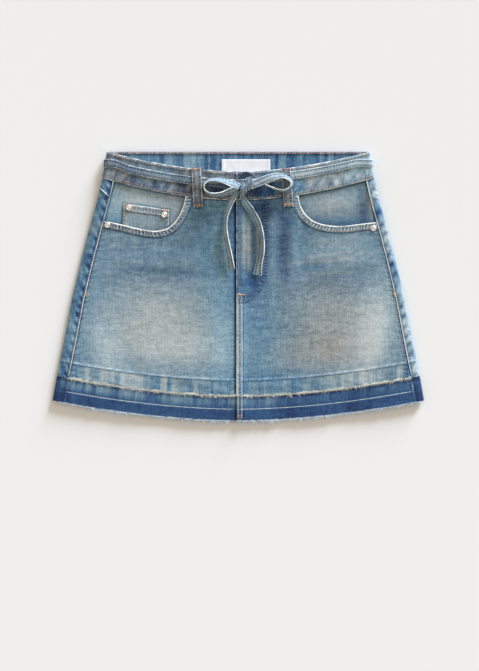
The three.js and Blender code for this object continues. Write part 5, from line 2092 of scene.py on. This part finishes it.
# Each profile runs from the foot to the crown. Its rows are a share of the radius and a height.
RIVET_PROFILE = [
    (0.97, 0), (1.0, 0.14), (1.0, 0.42), (0.96, 0.72), (0.86, 1.05), (0.74, 1.2), (0.6, 1.22), (0.5, 1.12),
    (0.46, 0.8), (0.4, 0.6), (0.34, 0.56), (0.3, 0.8), (0.26, 1.0), (0.18, 1.12), (0.08, 1.16), (0, 1.18),
]
RIVET_TURNS = 48
BUTTON_RADIUS = 10
BUTTON_PROFILE = [
    (0.9, 0), (0.94, 0.1), (0.99, 0.5), (1.0, 0.85), (0.985, 1.3), (0.94, 1.7), (0.88, 1.88), (0.81, 1.88),
    (0.76, 1.78), (0.71, 1.52), (0.66, 1.42), (0.6, 1.44), (0.52, 1.56), (0.48, 1.6), (0.42, 1.56),
    (0.3, 1.5), (0, 1.5),
]
BUTTON_TURNS = 72
print("rivet", 2 * RIVET_RADIUS, "mm and button", 2 * BUTTON_RADIUS, "mm wide")

# %% Plated metal


def plated(name, dark, middle, bright, roughness):
    material, w, shader = new_material(name, roughness, 0.85)
    specks = w.noise(w.attribute("weave", "Vector"), (900, 900, 900), 3, 0.6)
    rubbed = w.add(w.attribute("worn"), w.times(w.math("SUBTRACT", specks, 0.5), 0.7))
    w.put(shader.inputs["Base Color"], w.ramp(rubbed, [(0.1, dark), (0.5, middle), (0.9, bright)]))
    w.put(shader.inputs["Roughness"], w.range(specks, 0.3, 0.7, roughness - 0.1, roughness + 0.15))
    bump(w, shader, specks, 0.25, 0.0002)
    return material


COPPER = plated("copper", linear(120, 96, 88), linear(222, 206, 196), linear(246, 240, 232), 0.42)
DARK_STEEL = plated("dark_steel", linear(18, 22, 36), linear(34, 42, 64), linear(74, 84, 110), 0.45)
print("metals", COPPER.name, DARK_STEEL.name)

# %% Rivets and button


def stud(name, node, slot, material, profile, radius, place, turns, seed):
    """A turned metal stud with slight dents."""
    x, y, z = place
    r = np.array([p[0] for p in profile[:-1]]) * radius
    h = np.array([p[1] for p in profile[:-1]])
    turn = 2 * np.pi * np.arange(turns) / turns
    dent = 1 + 0.008 * np.random.default_rng(seed).normal(0, 1, (len(r), turns))
    ring_x = x + r[:, None] * np.cos(turn) * dent
    ring_y = y + r[:, None] * np.sin(turn) * dent
    ring_z = np.broadcast_to((z + h)[:, None], ring_x.shape)
    points = np.vstack([np.stack([ring_x, ring_y, ring_z], -1).reshape(-1, 3), [x, y, z + profile[-1][1]]])
    faces, last_ring = ring_faces(len(r), turns)
    faces += [[a, b, len(points) - 1] for a, b in zip(last_ring, last_ring[1:] + last_ring[:1])]
    values = {"worn": np.clip((points[:, 2] - z) / max(h), 0, 1), "weave": points * MM}
    keep(mesh_object(name, points, turned_out(points, faces), material, values), slot, node)


RIVETS = table(
    "name x y under",
    ("rivet_coin_left", -157.8, 113.3, DENIM + SEAM_GAP),
    ("rivet_coin_right", -106.8, 103.2, DENIM + SEAM_GAP),
    ("rivet_pocket_left", -188.5, 88.2, 0),
    ("rivet_pocket_right", 194.6, 83.6, 0),
)
UNDER_RIM = [(0, 0), (1, 0), (-1, 0), (0, 1), (0, -1)]
for number, r in enumerate(RIVETS):
    high = max(float(front_top(r["x"] + a * RIVET_RADIUS, r["y"] + b * RIVET_RADIUS)) for a, b in UNDER_RIM)
    place = (r["x"], r["y"], high - r["under"] + SEAM_GAP)
    name = r["name"]
    stud(f"{name}_stud", name, "copper", COPPER, RIVET_PROFILE, RIVET_RADIUS, place, RIVET_TURNS, number)
BUTTON = {"x": 12, "y": 155.2}
place = (BUTTON["x"], BUTTON["y"], float(band_top(0, BUTTON["y"])) + SEAM_GAP)
name = "waist_button"
stud("button", name, "dark_steel", DARK_STEEL, BUTTON_PROFILE, BUTTON_RADIUS, place, BUTTON_TURNS, 1)

# %% [markdown]
# ## Label
#
# A woven satin label, left bare. Its ends are folded under and sewn, so they are a little thicker, and satin
# shines along its threads.

# %% Label
LABEL = {"x": 11, "y": 171.5, "width": 70, "height": 23, "thickness": 0.5}
LABEL_RISE = SEAM_GAP + 0.62


def satin_material():
    material, w, shader = new_material("label_satin", 0.45)
    shader.inputs["Sheen Weight"].default_value = 0.25
    shader.inputs["Anisotropic"].default_value = 0.4
    place = w.attribute("weave", "Vector")
    threads = w.noise(place, (400, 3500, 1), 2, 0.5)
    cloud = w.noise(place, (90, 90, 1), 2, 0.5)
    mixed = w.add(w.times(threads, 0.6), w.times(cloud, 0.4))
    stops = [(0.25, linear(216, 214, 220)), (0.5, linear(234, 233, 237)), (0.75, linear(246, 246, 248))]
    w.put(shader.inputs["Base Color"], w.ramp(mixed, stops))
    w.put(shader.inputs["Roughness"], w.range(threads, 0.3, 0.7, 0.38, 0.52))
    bump(w, shader, threads, 0.3, 0.0001)
    return material


LABEL_SATIN = satin_material()
x, y = np.meshgrid(
    LABEL["x"] + LABEL["width"] * (spread(70, 1.4, 0.7, 5) - 0.5),
    LABEL["y"] + LABEL["height"] * (spread(23, 1.2, 0.6, 3) - 0.5),
)
end_gap = LABEL["width"] / 2 - np.abs(x - LABEL["x"])
z = BACK_RISE + BAND + LABEL_RISE + 0.3 * (1 - smooth(3.5, 4.3, end_gap)) + 0.08 * wander(x + y, 9, 400)
look = [0.5 + 0 * x, 0 * x, 0 * x]
label = flat_shell("bare_label", x, y, z, LABEL["thickness"], LABEL_SATIN, look, look)
keep(label, "label_satin", "label", sheet=laid(0.07, 0.023, "waistband_back"))

# %% [markdown]
# ## Studio
#
# A pale floor, one cool light that rakes in low from the upper right, and a warm world that fills its
# shadows, so a level surface comes out neutral and a shadow warm. The camera looks straight down and its
# frame is the photograph's.

# %% Floor
FLOOR_GAP = 0.0007
FLOOR_SIZE = 8
bpy.ops.mesh.primitive_plane_add(size=FLOOR_SIZE, location=(0, 0, -FLOOR_GAP))
floor = bpy.context.object
floor.name = "studio_floor"
paper, w, shader = new_material("studio_paper", 0.95)
shader.inputs["Specular IOR Level"].default_value = 0.1
place = w.tree.nodes.new("ShaderNodeTexCoord").outputs["Object"]
stops = [(0.3, linear(239, 238, 236)), (0.7, linear(241, 240, 239))]
w.put(shader.inputs["Base Color"], w.ramp(w.noise(place, (0.6, 0.6, 0.6), 1, 0.4), stops))
floor.data.materials.append(paper)
floor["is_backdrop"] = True
print("floor", FLOOR_SIZE, "m wide")

# %% Lights
KEY_FROM = Vector((0.75, 1.35, 0.33))
KEY_SPREAD = 20
KEY_ENERGY = 7.88
KEY_COLOUR = (0.734, 0.841, 1.0)
key_data = bpy.data.lights.new("key", "SUN")
key_data.energy = KEY_ENERGY
key_data.angle = math.radians(KEY_SPREAD)
key_data.color = KEY_COLOUR
key = bpy.data.objects.new("key", key_data)
key.location = KEY_FROM
key.rotation_euler = KEY_FROM.to_track_quat("Z", "Y").to_euler()
bpy.context.scene.collection.objects.link(key)

# The warm fill lights the scene. What the camera sees past the floor's edge is pale, as the floor is.
FILL = {"Color": (1.0, 0.909, 0.774, 1), "Strength": 0.61}
SEEN = {"Color": linear(236, 234, 231), "Strength": 1.0}
world = bpy.data.worlds.new("studio")
world.use_nodes = True
sky = world.node_tree
fill = sky.nodes["Background"]
seen = sky.nodes.new("ShaderNodeBackground")
chosen = sky.nodes.new("ShaderNodeMixShader")
ray = sky.nodes.new("ShaderNodeLightPath")
for background, values in ((fill, FILL), (seen, SEEN)):
    for socket, value in values.items():
        background.inputs[socket].default_value = value
sky.links.new(ray.outputs["Is Camera Ray"], chosen.inputs[0])
sky.links.new(fill.outputs[0], chosen.inputs[1])
sky.links.new(seen.outputs[0], chosen.inputs[2])
sky.links.new(chosen.outputs[0], sky.nodes["World Output"].inputs["Surface"])
bpy.context.scene.world = world
bpy.context.scene.view_settings.view_transform = "Standard"
print("key light", round(math.degrees(math.atan2(KEY_FROM.z, KEY_FROM.xy.length))), "degrees up")

# %% Camera
FRAME_HEIGHT = 966.2
FRAME_CENTRE = (1.7, -70.7)
SKIRT_LEVEL = 7
CAMERA_HEIGHT = 3200
SENSOR = 36
camera_data = bpy.data.cameras.new("camera")
camera_data.sensor_fit = "VERTICAL"
camera_data.sensor_height = SENSOR
camera_data.lens = SENSOR * (CAMERA_HEIGHT - SKIRT_LEVEL) / FRAME_HEIGHT
camera = bpy.data.objects.new("camera", camera_data)
camera.location = (FRAME_CENTRE[0] * MM, FRAME_CENTRE[1] * MM, CAMERA_HEIGHT * MM)
bpy.context.scene.collection.objects.link(camera)
bpy.context.scene.camera = camera
print("lens", round(camera_data.lens), "mm")

# %% Sizes and finish
low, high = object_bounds()
triangles = sum(len(p.vertices) - 2 for piece in PIECES.values() for p in piece.data.polygons)
print("visual box", [round(v, 4) for v in low], [round(v, 4) for v in high], triangles, "triangles")
